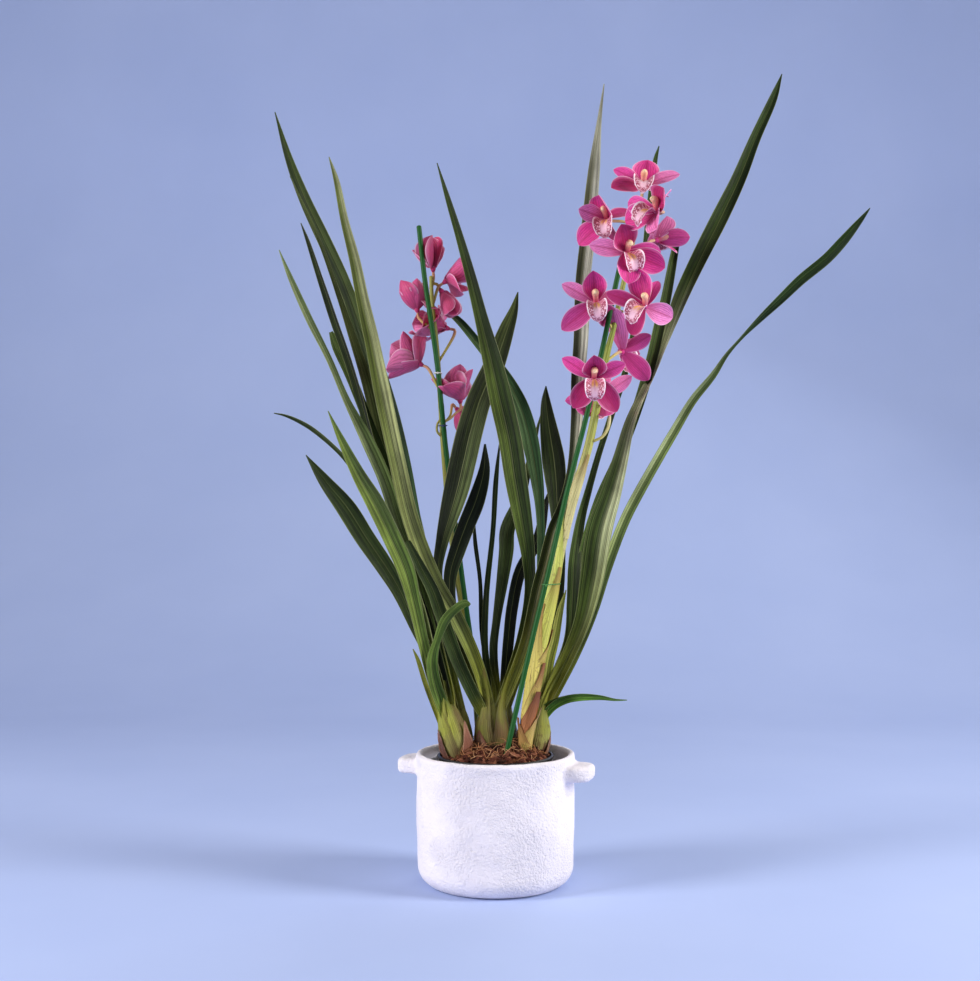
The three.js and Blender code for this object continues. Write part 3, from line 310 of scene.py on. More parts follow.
LEFT_BLOOMS = [
    dict(hub=(433, 268, 30), face=(-0.05, -0.1, 1), top=(0, 1, 0), start=(431.5, 290, 26.5), open=0.22,
         size=1.1, bow=-1,
         tips=dict(dorsal=(432.5, 235, -1), left=(412, 250, 1), right=(441, 247, 1),
                   low_left=(429.5, 237, 1), low_right=(436, 237, 1)),
         shade=dict(dorsal="8e2450", left="e0709a")),
    dict(hub=(446, 281, 30), face=(0.75, -0.2, 0.55), top=(-0.5, 0, 1), start=(433, 305, 26), open=0.5,
         size=1.12, bow=3,
         tips=dict(dorsal=(464, 264, -1), right=(463, 272, 1), low_right=(461, 292, -1),
                   low_left=(452, 297, 1), left=(457, 281, 1)),
         shade=dict(dorsal="d8609a")),
    dict(hub=(442, 292, 34), face=(0.55, 0.1, -0.8), top=(1, 0, 0.5), start=(431.3, 284, 27), open=0.15,
         size=0.8, bow=0,
         tips=dict(dorsal=(455, 316, -1), left=(452, 315, 1), right=(458, 312, 1), low_left=(449, 312, -1),
                   low_right=(457, 314, -1)),
         shade=dict(dorsal="8a3048", low_left="c04870")),
    dict(hub=(417, 309, 36), face=(-0.2, 0.2, 1), top=(1, 0, 0), start=(435, 332, 25.5), open=0.35,
         size=1.3,
         tips={}),
    dict(hub=(446, 328, 52), face=(-0.95, 0, 0.25), top=(0, 0, 1), start=(439, 362, 25), open=0.45,
         size=1.7, bow=8,
         tips=dict(dorsal=(440, 309, -1), left=(412, 324, -1), low_left=(417, 334, -1), right=(448, 312, 1),
                   low_right=(434, 339, 1)),
         shade=dict(left=PAINTED_LIGHT_ROSE)),
    dict(hub=(420, 364, 34), face=(-0.75, 0.25, 0.4), top=(0.3, 0, 1), start=(440, 392, 25), open=0.62,
         size=1.6, bow=-5,
         tips=dict(dorsal=(391, 344, -1), low_left=(386, 369, -1), right=(388, 379, -1), left=(403, 331, 1),
                   low_right=(426, 335, 1)),
         shade=dict(dorsal="f088b4", low_left="f088b4")),
    dict(hub=(460, 400, 34), face=(-0.1, 0.2, 1), top=(-1, 0, 0.1), start=(443, 438, 25),
         via=[(437, 431, 19), (439, 421, 17), (447, 420.5, 20), (457, 412, 30)], open=0.55, size=1.4,
         bow=-5,
         tips=dict(left=(431, 379, -1), dorsal=(447, 373, 1), low_left=(443, 386, -1),
                   low_right=(460, 364, -1), right=(473, 369, 1)),
         shade=dict(low_right="d8609a", dorsal="c8508a")),
    dict(hub=(458, 410, 50), face=(0.5, 0.5, -0.5), top=(0, 0, 1), start=(442, 425, 25),
         via=[(450, 416, 34)],
         open=0.4,
         tips={}),
]

# Direction of each tepal in the flower's plane (degrees from its right), length and width (mm),
# how far its middle bulges forward (mm) and how deep it is cupped across.
TEPALS = dict(
    dorsal=dict(direction=90, length=37, width=27, bulge=-6, cup=0.42),
    low_left=dict(direction=232, length=42, width=24, bulge=4, cup=0.24),
    low_right=dict(direction=308, length=42, width=24, bulge=4, cup=0.24),
    left=dict(direction=154, length=39, width=17, bulge=4, cup=0.2),
    right=dict(direction=26, length=39, width=17, bulge=4, cup=0.2),
)
BUD = dict(length=0.92, cup=2.6)
HUB = dict(back=-4, radius=3.4)
LIP = dict(
    line=[(-0.8, 2.4), (-3.4, 6.5), (-5.6, 10.5), (-8.5, 13.6), (-12.5, 15.6), (-17, 15.8),
          (-21, 13.8), (-23.6, 10.6)],
    halves=[2.6, 6.4, 9.6, 11, 10.7, 9, 5.6, 1],
    folds=[0.3, 0.62, 0.8, 0.68, 0.42, 0.2, 0.02, -0.05],
)
COLUMN = dict(line=[(0.4, 0.4), (3.4, 3.4), (6.8, 6.6), (8.8, 9.8), (8.6, 12.6)],
              radii=[2.9, 3.0, 3.3, 3.8, 3.3],
              cap=[(9.3, 11.8), (8.8, 13.6), (7.4, 14.8)], cap_radii=[2.0, 2.2, 1.5])
# Each tie: the side of the plant its rods are on, the row of its loop, and its finish.
TIES = dict(tie_left_top=("left", 372, "tie_pale"), tie_left_low=("left", 425, "tie_blue"),
            tie_right=("right", 583, "tie_green"))

# ---- small tools --------------------------------------------------------------------------------


def mix(a, b, share):
    return a + (b - a) * share


def mixed(a, b, share):
    return tuple(mix(p, q, share) for p, q in zip(a, b))


def clamp(value, low=0.0, high=1.0):
    return max(low, min(high, value))


def ease(value):
    value = clamp(value)
    return value * value * (3 - 2 * value)


def eased(a, b, share):
    return mixed(a, b, ease(share))


def sample(values, share, blend=mix):
    """A value from an evenly spaced list, at a share of its length."""
    if len(values) == 1:
        return values[0]
    at = clamp(share) * (len(values) - 1)
    low = min(int(at), len(values) - 2)
    return blend(values[low], values[low + 1], at - low)


def linear(code):
    """A colour written as six hex digits, in the renderer's linear values."""
    parts = [int(code[k:k + 2], 16) / 255 for k in (0, 2, 4)]
    return tuple(v / 12.92 if v <= 0.04045 else ((v + 0.055) / 1.055) ** 2.4 for v in parts)


def spread_at(depth):
    """Millimetres that a picture unit covers at a depth."""
    return (VIEW["distance"] + depth) / VIEW["focal"]


def place(column, row, depth):
    spread = spread_at(depth)
    return Vector((VIEW["x"] + (column - VIEW["column"]) * spread, depth,
                   VIEW["z"] - (row - VIEW["row"]) * spread))


def polar(radius, angle, z=0.0):
    return Vector((radius * math.cos(angle), radius * math.sin(angle), z))


def around(centre, side, other, reach, angle):
    return centre + side * (reach * math.cos(angle)) + other * (reach * math.sin(angle))


def rough_at(*at):
    return noise.noise(Vector(at))


def ways_along(points):
    """The direction of a line at each of its points."""
    last = len(points) - 1
    return [(points[min(i + 1, last)] - points[max(i - 1, 0)]).normalized()
            for i in range(last + 1)]


def catmull(four, knots, t):
    """The point of a Catmull-Rom curve at t, from its four control points and their knots."""
    level = four
    for spans in (((0, 1), (1, 2), (2, 3)), ((0, 2), (1, 3)), ((1, 2),)):
        level = [tuple(((knots[high] - t) * a + (t - knots[low]) * b) / (knots[high] - knots[low])
                       for a, b in zip(p, q))
                 for (low, high), p, q in zip(spans, level, level[1:])]
    return level[0]


def curve_stations(points, values, count):
    """Even stations along a centripetal Catmull-Rom curve: centre, way along, values there and
    the share of the control points passed. values has a tuple for each point."""
    rows = [(*p, *v) for p, v in zip(points, values)]
    ends = [tuple(2 * a - b for a, b in zip(rows[i], rows[k])) for i, k in ((0, 1), (-1, -2))]
    rows = [ends[0], *rows, ends[1]]
    fine = []
    pieces = 14
    for i in range(1, len(rows) - 2):
        four = rows[i - 1:i + 3]
        knots = [0.0]
        for a, b in zip(four, four[1:]):
            knots.append(knots[-1] + max(math.sqrt(math.dist(a[:3], b[:3])), 1e-4))
        for k in range(pieces):
            t = mix(knots[1], knots[2], k / pieces)
            fine.append((*catmull(four, knots, t), i - 1 + k / pieces))
    fine.append((*rows[-2], len(points) - 1))
    lengths = [0.0]
    for a, b in zip(fine, fine[1:]):
        lengths.append(lengths[-1] + math.dist(a[:3], b[:3]))
    even = []
    at = 0
    for i in range(count):
        goal = lengths[-1] * i / (count - 1)
        while at < len(lengths) - 2 and lengths[at + 1] < goal:
            at += 1
        part = (goal - lengths[at]) / max(lengths[at + 1] - lengths[at], 1e-9)
        even.append(mixed(fine[at], fine[at + 1], part))
    centres = [Vector(row[:3]) for row in even]
    stations = [(centre, way, row[3:-1], row[-1] / (len(points) - 1))
                for centre, way, row in zip(centres, ways_along(centres), even)]
    return stations, lengths[-1]


class Skin:
    """Collects a mesh in millimetres with, at each point, where it lies across and along its
    leaf or petal, whether it is the under side, and its tint."""

    def __init__(self):
        self.points, self.marks, self.faces, self.slots = [], [], [], []

    def add(self, point, across=0.0, along=0.0, under=0.0, tint=(1, 1, 1)):
        self.points.append(point)
        self.marks.append((across, along, under, tint))
        return len(self.points) - 1

    def face(self, corners, slot=0):
        self.faces.append(corners)
        self.slots.append(slot)

    def loft(self, rings, slot=0, ends=True, flipped=False):
        """Faces between rings of points, each closed on itself, and over the two ends."""
        for a, b in zip(rings, rings[1:]):
            for k in range(len(a)):
                j = (k + 1) % len(a)
                self.face((a[k], b[k], b[j], a[j]) if flipped else (a[k], a[j], b[j], b[k]), slot)
        if ends:
            self.face(tuple(rings[0] if flipped else reversed(rings[0])), slot)
            self.face(tuple(reversed(rings[-1]) if flipped else rings[-1]), slot)

    def sheet(self, upper, under, slot=0):
        """Faces round a thin sheet, from the grids of points on its two sides."""
        for a, b, c, d in zip(upper, upper[1:], under, under[1:]):
            for k in range(len(a) - 1):
                self.face((a[k], a[k + 1], b[k + 1], b[k]), slot)
                self.face((c[k], d[k], d[k + 1], c[k + 1]), slot)
            self.face((a[0], b[0], d[0], c[0]), slot)
            self.face((a[-1], c[-1], d[-1], b[-1]), slot)
        a, b, c, d = upper[0], upper[-1], under[0], under[-1]
        for k in range(len(a) - 1):
            self.face((a[k], c[k], c[k + 1], a[k + 1]), slot)
            self.face((b[k], b[k + 1], d[k + 1], d[k]), slot)

    def piece(self, name, materials, smooth_angle=50):
        mesh = bpy.data.meshes.new(name)
        mesh.from_pydata([Vector(p) * MM for p in self.points], [], self.faces)
        for material in materials:
            mesh.materials.append(material)
        mesh.polygons.foreach_set("material_index", self.slots)
        mesh.polygons.foreach_set("use_smooth", [True] * len(self.faces))
        *places, tints = zip(*self.marks)
        for key, values in zip(("across", "along", "under"), places):
            mesh.attributes.new(key, "FLOAT", "POINT").data.foreach_set("value", values)
        tint = mesh.attributes.new("tint", "FLOAT_COLOR", "POINT")
        tint.data.foreach_set("color", [v for t in tints for v in (*t, 1.0)])
        mesh.set_sharp_from_angle(angle=math.radians(smooth_angle))
        mesh.validate()
        piece = bpy.data.objects.new(name, mesh)
        bpy.context.scene.collection.objects.link(piece)
        return piece


def ribbon(skin, stations, columns, tint_at):
    """A thin closed blade. Each station gives centre, along, side, half, thick and rise, a
    function of the place across that says how far the surface stands out of its plane."""
    grids = ([], [])
    for i, s in enumerate(stations):
        share = i / (len(stations) - 1)
        out = s["side"].cross(s["along"]).normalized()
        for under, grid in enumerate(grids):
            row = []
            for c in columns:
                thick = s["thick"] * (1 - 0.45 * abs(c)) * (0.5 - under)
                point = s["centre"] + s["side"] * (c * s["half"])
                point += out * (s["rise"](c) * s["half"] + thick)
                row.append(skin.add(point, c, share, under, tint_at(c, share, under)))
            grid.append(row)
    skin.sheet(*grids)


def wrap(skin, rows, columns, point_at, slot=0):
    """A thin sheet round something. point_at gives what to add for the outer (0) or inner (1)
    layer at a share of its length and a place across from -1 to 1."""
    outer, inner = ([[skin.add(*point_at(layer, i / (rows - 1), k / (columns - 1) * 2 - 1))
                      for k in range(columns)] for i in range(rows)] for layer in (0, 1))
    skin.sheet(inner, outer, slot)


def tube(skin, points, radii, sides, tint_at, slot=0, smooth=0):
    """A closed tube through points, with rounded ends. smooth gives the number of stations of
    a curve through the points."""
    centres, sizes = points, radii
    if smooth:
        stations, _ = curve_stations(points, [(r,) for r in radii], smooth)
        centres = [centre for centre, *_ in stations]
        sizes = [max(size, 0.05) for _, _, (size,), _ in stations]
    shares = [i / (len(centres) - 1) for i in range(len(centres))]
    rows = list(zip(centres, sizes, ways_along(centres), shares))
    caps = [[(centre + way * (sign * size * reach), size * narrow, way, share)
             for reach, narrow in ((0.35, 0.86), (0.62, 0.5))]
            for (centre, size, way, share), sign in ((rows[0], -1), (rows[-1], 1))]
    rows = caps[0][::-1] + rows + caps[1]
    first = rows[0][2]
    side = first.cross(AWAY if abs(first.y) < 0.8 else Vector((1, 0, 0))).normalized()
    rings = []
    for centre, size, way, share in rows:
        side = (side - way * side.dot(way)).normalized()
        other = way.cross(side)
        rings.append([skin.add(around(centre, side, other, size, math.tau * k / sides),
                               k / sides * 2 - 1, share, 0.0, tint_at(share))
                      for k in range(sides)])
    skin.loft(rings, slot)


def lathe(skin, profile, sides=96):
    """A turned body from (radius, height) points that start and end on the axis."""
    low = skin.add(UP * profile[0][1])
    rings = [[skin.add(polar(radius, math.tau * k / sides, height)) for k in range(sides)]
             for radius, height in profile[1:-1]]
    high = skin.add(UP * profile[-1][1])
    for k in range(sides):
        after = (k + 1) % sides
        skin.face((low, rings[0][after], rings[0][k]))
        for a, b in zip(rings, rings[1:]):
            skin.face((a[k], a[after], b[after], b[k]))
        skin.face((rings[-1][k], rings[-1][after], high))


def arc(r, z, radius, low, high, steps):
    """Points on an arc in the (radius, height) plane, between two angles in degrees."""
    angles = [math.radians(mix(low, high, i / steps)) for i in range(steps + 1)]
    return [(r + radius * math.cos(a), z + radius * math.sin(a)) for a in angles]


def carry(piece, node):
    """The piece stands for a node of the solids: it hangs from the root and the node's own part is hidden.
    """
    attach(piece, "root")
    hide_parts(node)


# ---- materials ----------------------------------------------------------------------------------


class Look:
    """A node material with short ways to add the nodes that the finishes below need."""

    def __init__(self, name, roughness=0.5, specular=0.5, sheen=0.0, soft=0.0):
        self.material = bpy.data.materials.new(name)
        self.material.use_nodes = True
        self.tree = self.material.node_tree
        self.shader = self.tree.nodes["Principled BSDF"]
        for key, value in (("Roughness", roughness), ("Specular IOR Level", specular),
                           ("Sheen Weight", sheen), ("Subsurface Weight", soft),
                           ("Subsurface Radius", (0.004, 0.0015, 0.001)),
                           ("Subsurface Scale", 1.0)):
            self.shader.inputs[key].default_value = value

    def feed(self, node, key, value):
        if isinstance(value, bpy.types.NodeSocket):
            self.tree.links.new(value, node.inputs[key])
        elif node.inputs[key].type == "RGBA":
            node.inputs[key].default_value = (*value, 1)
        else:
            node.inputs[key].default_value = value

    def node(self, kind, feeds, out=0, **settings):
        """One output of a new node, from what feeds its inputs and its settings."""
        node = self.tree.nodes.new("ShaderNode" + kind)
        for key, value in settings.items():
            setattr(node, key, value)
        for key, value in feeds.items():
            self.feed(node, key, value)
        return node.outputs[out]

    def places(self, *keys):
        return [self.node("Attribute", {}, "Color" if key == "tint" else "Fac", attribute_name=key)
                for key in keys]

    def where(self, scale=(1, 1, 1)):
        place_in = self.node("TexCoord", {}, "Object")
        return self.node("Mapping", {"Vector": place_in, "Scale": scale})

    def math(self, operation, a, b=0.0, c=0.0):
        return self.node("Math", {0: a, 1: b, 2: c}, operation=operation)

    def times(self, a, b):
        return self.math("MULTIPLY", a, b)

    def line(self, value, gain, base):
        return self.math("MULTIPLY_ADD", value, gain, base)

    def rest(self, value):
        return self.math("SUBTRACT", 1.0, value)

    def wave(self, value, gain, shift=None):
        return self.math("SINE", self.line(value, gain, shift) if shift else self.times(value, gain))

    def noise(self, vector, scale, detail=3.0, rough=0.5):
        return self.node("TexNoise", {"Vector": vector, "Scale": scale, "Detail": detail,
                                      "Roughness": rough}, "Fac")

    def cells(self, vector, scale):
        return self.node("TexVoronoi", {"Vector": vector, "Scale": scale}, "Distance")

    def spread(self, across_gain, along_gain):
        """Where a point lies on its leaf or petal, for a pattern that follows it."""
        across, along = self.places("across", "along")
        return self.node("CombineXYZ", {0: self.times(across, across_gain),
                                        1: self.times(along, along_gain), 2: 0.0})

    def steps(self, value, low, high):
        """0 below low and 1 above high, with a smooth rise between them."""
        return self.node("MapRange", {"Value": value, "From Min": low, "From Max": high},
                         interpolation_type="SMOOTHSTEP")

    def blend(self, share, a, b, kind="MIX"):
        return self.node("Mix", {0: share, 6: a, 7: b}, 2, data_type="RGBA", blend_type=kind)

    def painted(self, colour, share, strength, code):
        return self.blend(self.times(share, strength), colour, linear(code))

    def scaled(self, colour, low, high, value):
        """The colour made darker or lighter: low where value is 0 and high where it is 1."""
        factor = self.line(value, high - low, low)
        grey = self.node("CombineXYZ", {0: factor, 1: factor, 2: factor})
        return self.blend(1.0, colour, grey, "MULTIPLY")

    def bump(self, height, strength, distance, below=None):
        feeds = {"Height": height, "Strength": strength, "Distance": distance}
        return self.node("Bump", {**feeds, "Normal": below} if below else feeds)

    def finish(self, colour, rough=None, normal=None):
        for key, value in (("Base Color", colour), ("Roughness", rough), ("Normal", normal)):
            if value:
                self.feed(self.shader, key, value)
        return self.material


def leaf_look():
    """Dark strap leaf: lengthwise ribs and streaks, a pale keel and pale thin margins."""
    look = Look("leaf", roughness=0.45, specular=0.15)
    across, under, tint = look.places("across", "under", "tint")
    off = look.math("ABSOLUTE", across)
    streaks = look.noise(look.spread(7, 1.6), 2.0, 5, 0.6)
    patches = look.noise(look.where(), 22)
    broad = look.wave(across, 12, look.times(streaks, 9))
    height = look.math("ADD", look.wave(across, 46), look.times(look.wave(across, 131), 0.4))
    height = look.math("ADD", height, look.times(broad, 1.6))
    colour = look.scaled(tint, 0.36, 1.4, look.steps(streaks, 0.36, 0.64))
    colour = look.scaled(colour, 0.7, 1.25, look.steps(patches, 0.3, 0.7))
    # Rib crests lighter and hollows darker: partly the veins' own colour, partly a painted highlight on the
    # ridges.
    colour = look.scaled(colour, 0.8, 1.14, look.line(broad, 0.5, 0.5))
    colour = look.scaled(colour, 0.86, 1.12, look.line(height, 0.36, 0.5))
    colour = look.painted(colour, under, 0.2, "7c8a62")
    colour = look.painted(colour, look.rest(look.steps(off, 0.01, 0.06)), 0.3, "98a060")
    colour = look.painted(colour, look.steps(off, 0.94, 0.985), 0.55, "b0b478")
    normal = look.bump(height, 0.45, 0.0005)
    normal = look.bump(look.noise(look.where(), 90, 2), 0.15, 0.0006, normal)
    return look.finish(colour, look.line(patches, 0.25, 0.32), normal)


def bulb_look():
    """Bulb and its sheaths: pale streaks and veins, with brown and purple flushes."""
    look = Look("bulb", roughness=0.5, specular=0.25)
    across, tint = look.places("across", "tint")
    veins = look.wave(across, 60)
    streaks = look.noise(look.spread(14, 1), 2.2, 5)
    spots = look.noise(look.where(), 120, 4)
    flush = look.steps(look.noise(look.where((1, 1, 0.5)), 40), 0.5, 0.68)
    colour = look.scaled(tint, 0.5, 1.3, look.steps(streaks, 0.3, 0.7))
    colour = look.scaled(colour, 0.82, 1.1, look.line(veins, 0.5, 0.5))
    colour = look.painted(colour, flush, 0.55, "6e3f34")
    colour = look.painted(colour, look.steps(spots, 0.62, 0.7), 0.5, "5a3a22")
    height = look.math("ADD", veins, look.times(spots, 2))
    return look.finish(colour, look.line(spots, 0.4, 0.3), look.bump(height, 0.4, 0.0004))


def stem_look():
    """Flower stem: pale green streaked lengthwise, with purple-brown freckles."""
    look = Look("stem", roughness=0.45, specular=0.3)
    across, tint = look.places("across", "tint")
    streaks = look.noise(look.spread(10, 1.5), 2, 4)
    freckles = look.steps(look.noise(look.where(), 260), 0.6, 0.7)
    colour = look.scaled(tint, 0.62, 1.25, look.steps(streaks, 0.3, 0.7))
    colour = look.painted(colour, freckles, 0.35, "7a4a38")
    return look.finish(colour, None, look.bump(look.wave(across, 40), 0.25, 0.0003))


def petal_look(name, dull, deep, back):
    """Tepal: fine darker veins that fan out, a deeper base and a pale rim."""
    look = Look(name, roughness=0.5, specular=0.25, sheen=0.06, soft=0.12)
    across, along, under, tint = look.places("across", "along", "under", "tint")
    off = look.math("ABSOLUTE", across)
    drift = look.noise(look.spread(2, 3), 2.5)
    veins = look.math("ABSOLUTE", look.wave(across, 17, look.times(drift, 4)))
    veins = look.math("POWER", veins, 4)
    edge = look.math("MAXIMUM", off, look.line(along, 7.0, -6.05))
    colour = look.scaled(tint, 0.68, 1.3, drift)
    colour = look.painted(colour, look.rest(look.steps(along, 0.0, 0.62)), 0.62, deep)
    colour = look.painted(colour, look.rest(look.steps(off, 0.0, 0.22)), 0.5, deep)
    colour = look.painted(colour, veins, 0.5, dull)
    colour = look.painted(colour, look.steps(edge, 0.72, 0.93), 0.35, "ee8fc0")
    colour = look.painted(colour, look.steps(edge, 0.93, 0.99), 0.6, "fbd3e6")
    colour = look.painted(colour, under, 0.3, back)
    fine = look.times(look.noise(look.where(), 900, 2), 0.6)
    return look.finish(colour, None, look.bump(look.math("ADD", veins, fine), 0.3, 0.0005))


def lip_look():
    """Lip: white-pink with maroon blotches inside its margin and stripes in its throat."""
    look = Look("lip", roughness=0.45, specular=0.35, sheen=0.2, soft=0.12)
    across, along, tint = look.places("across", "along", "tint")
    off = look.math("ABSOLUTE", across)
    blots = look.noise(look.spread(4.2, 9), 1.7, 2)
    edge = look.math("MAXIMUM", off, look.line(along, 3.2, -2.2))
    band = look.times(look.steps(edge, 0.2, 0.5), look.steps(along, 0.26, 0.38))
    spots = look.times(look.steps(blots, 0.44, 0.49), band)
    lines = look.wave(along, 62, look.times(blots, 6))
    side = look.times(look.steps(off, 0.3, 0.6), look.rest(look.steps(along, 0.45, 0.6)))
    stripes = look.times(look.steps(lines, 0.1, 0.6), side)
    rim = look.steps(edge, 0.87, 0.93)
    marks = look.times(look.math("MAXIMUM", spots, stripes), look.rest(rim))
    colour = look.scaled(tint, 0.85, 1.15, blots)
    colour = look.painted(colour, marks, 0.9, "94143e")
    colour = look.painted(colour, rim, 0.75, "fdeaf1")
    return look.finish(colour, None, look.bump(look.noise(look.where(), 700), 0.3, 0.0005))


def column_look():
    """Column of the flower: its tint with fine maroon speckles."""
    look = Look("column", roughness=0.4, specular=0.4, sheen=0.1, soft=0.1)
    tint, = look.places("tint")
    speckle = look.steps(look.noise(look.where(), 900, 2), 0.58, 0.68)
    colour = look.painted(tint, speckle, 0.3, "a83a5c")
    return look.finish(colour, None, look.bump(speckle, 0.1, 0.0003))


def ceramic_look():
    """Unglazed white ceramic: rough, pitted, brushed round with a thick slip."""
    look = Look("ceramic", roughness=0.8, specular=0.3)
    where = look.where()
    coarse = look.noise(where, 45, 5, 0.6)
    strokes = look.noise(look.where((1, 1, 1.8)), 60, 4, 0.6)
    worn = look.steps(look.noise(where, 16, 2), 0.38, 0.62)
    grit = look.times(look.noise(where, 380, 3, 0.65), look.line(worn, 0.75, 0.35))
    pits = look.steps(look.cells(where, 210), 0.05, 0.4)
    height = look.math("ADD", look.times(coarse, 0.7), strokes)
    height = look.math("ADD", height, look.times(pits, 0.3))
    height = look.math("ADD", height, look.times(grit, 1.9))
    colour = look.blend(coarse, linear("efe7ee"), linear("f9f2f6"))
    colour = look.scaled(colour, 0.93, 1.04, strokes)
    normal = look.bump(height, 0.8, 0.0016)
    normal = look.bump(look.noise(where, 900), 0.35, 0.0004, normal)
    return look.finish(colour, look.line(coarse, 0.25, 0.65), normal)


def plastic_look(name, code, rough, bumpy, specular=0.5):
    """Moulded or coated plastic with a faint grain and scuffs."""
    look = Look(name, roughness=rough, specular=specular)
    grain = look.noise(look.where(), 700)
    scuffs = look.steps(look.noise(look.where((1, 1, 0.15)), 160, 4), 0.55, 0.75)
    base = linear(code)
    colour = look.blend(look.times(scuffs, 0.25), base, mixed(base, (0.3, 0.3, 0.26), 0.25))
    colour = look.scaled(colour, 0.85, 1.12, grain)
    return look.finish(colour, look.line(scuffs, 0.2, rough), look.bump(grain, bumpy, 0.0003))


def bark_look():
    """Bark chips and coco: reddish brown with dark pores and lighter torn fibres."""
    look = Look("bark", roughness=0.9, specular=0.2)
    tint, = look.places("tint")
    grain = look.noise(look.where((1, 2.5, 4)), 240, 6, 0.7)
    pores = look.cells(look.where(), 420)
    colour = look.scaled(tint, 0.45, 1.6, grain)
    colour = look.scaled(colour, 0.7, 1.1, look.steps(pores, 0.0, 0.35))
    height = look.math("ADD", grain, look.times(pores, 0.5))
    return look.finish(colour, None, look.bump(height, 0.9, 0.001))


def floor_look():
    """Pale matt floor with the faintest mottle."""
    look = Look("floor", roughness=0.85, specular=0.2)
    mottle = look.noise(look.where(), 3, 4)
    colour = look.blend(mottle, linear("acbce6"), linear("b6c4ea"))
    return look.finish(look.scaled(colour, 0.98, 1.02, mottle))


# ---- pot, growing pot and medium ----------------------------------------------------------------


def lug_into(skin, direction):
    """A lug as a rounded slab whose root lies inside the pot's wall."""
    root, reach, tip, corner = (LUG[key] for key in ("root", "reach", "tip_half_width", "corner"))
    outline = [(root, -LUG["half_width"]), (reach - corner - 3, -tip - 2)]
    outline += [(reach - corner * (1 - math.sin(a)), -tip + 9.5 - corner * math.cos(a))
                for a in (math.radians(d) for d in (12, 30, 50, 70, 88))]
    outline += [(x, -y) for x, y in reversed(outline)]
    edge = [(0.0, 0.0), (0.5, 0.9), (0.85, 2.6), (1, 5.2)]
    half = LUG["thickness"] / 2
    levels = [(share, rise - half) for share, rise in edge]
    levels += [(share, half - rise) for share, rise in reversed(edge)]
    turn = Matrix.Rotation(math.radians(direction), 3, "Z")
    rings = []
    for share, height in levels:
        pull = LUG["inset"] * (1 - share)
        rings.append([skin.add(turn @ Vector((x - pull if x > root else x,
                                              math.copysign(max(abs(y) - pull, 1), y),
                                              LUG["middle"] + height))) for x, y in outline])
    skin.loft(rings)


def make_pot(look):
    inner = POT["rim"] - POT["wall"]
    height = POT["height"]
    belly = POT["belly"] + 0.5
    skin = Skin()
    lathe(skin, [
        (0, 0), (POT["foot"] * 0.5, 0), (POT["foot"], 0),
        *arc(POT["low"] - POT["corner"], POT["corner"], POT["corner"], -72, 0, 8),
        *[(mix(POT["low"], belly, ease(k / 4)), mix(24, height * 0.5, k / 4))
          for k in (1, 2, 3, 4)],
        *[(belly - k * 0.3, mix(height * 0.5, height - 14, k / 3)) for k in (1, 2, 3)],
        *arc(POT["rim"] - POT["edge_round"], height - POT["edge_round"], POT["edge_round"],
             -10, 190, 12),
        (inner, height - 16), (inner, height * 0.5), (inner - 1, POT["floor"] + 16),
        (inner - 5, POT["floor"] + 7), (inner - 10, POT["floor"] + 3),
        (inner - 18, POT["floor"]), (0, POT["floor"]),
    ])
    for direction in LUG["directions"]:
        lug_into(skin, direction)
    pot = skin.piece("ceramic_pot", [look])
    remesh = pot.modifiers.new("one body", "REMESH")
    remesh.mode = "VOXEL"
    remesh.voxel_size = 1.7 * MM
    remesh.use_smooth_shade = True
    soften = pot.modifiers.new("soft joins", "SMOOTH")
    soften.factor = 0.6
    soften.iterations = 5
    apply_modifiers(pot)
    moved = []
    for vertex in pot.data.vertices:
        point, out = Vector(vertex.co), Vector(vertex.normal)
        slow = noise.noise(point * 28) * 0.55 + noise.noise(point * 75 + Vector((3, 7, 1))) * 0.32
        quick = noise.noise(Vector((point.x, point.y, point.z * 2.2)) * 210) * 0.22
        rest = ease((point.z / MM - 0.5) / 4)
        point += out * ((slow + quick - 0.45) * rest * MM)
        moved += [point.x, point.y, max(point.z, 0.0)]
    pot.data.vertices.foreach_set("co", moved)
    carry(pot, "pot")


def apply_modifiers(piece):
    graph = bpy.context.evaluated_depsgraph_get()
    mesh = bpy.data.meshes.new_from_object(piece.evaluated_get(graph))
    old = piece.data
    piece.modifiers.clear()
    piece.data = mesh
    bpy.data.meshes.remove(old)


def cup_inner(z):
    """The growing pot's inner radius at a height."""
    rise = (z - POT["floor"]) / (CUP["top"] - POT["floor"])
    return mix(CUP["foot"], CUP["rim"], rise) - CUP["wall"]


def make_growing_pot(look):
    skin = Skin()
    bottom = POT["floor"] + GAP
    inside = bottom + CUP["wall"]
    rim, foot, top = CUP["rim"], CUP["foot"], CUP["top"]
    neck = top - CUP["roll"]
    lathe(skin, [
        (0, bottom), (foot - 1, bottom), (foot, bottom + 1), (rim - 1.1, neck - 0.4),
        (rim - 0.6, neck), *arc(rim - 0.2, top - 1.25, 1.2, -90, 90, 6),
        (rim - CUP["wall"], top), (cup_inner(neck), neck), (foot - CUP["wall"], inside),
        (0, inside),
    ])
    carry(skin.piece("growing_pot_skin", [look]), "growing_pot")


def medium_top(x, y):
    share = min(math.hypot(x, y) / CUP["rim"], 1)
    mound = MEDIUM["edge"] + MEDIUM["crown"] * (1 - share * share)
    knobs = math.sin(x * 0.31 + y * 0.17) * math.cos(y * 0.37 - x * 0.11)
    return mound + MEDIUM["relief"] * knobs * (1 - share ** 6)


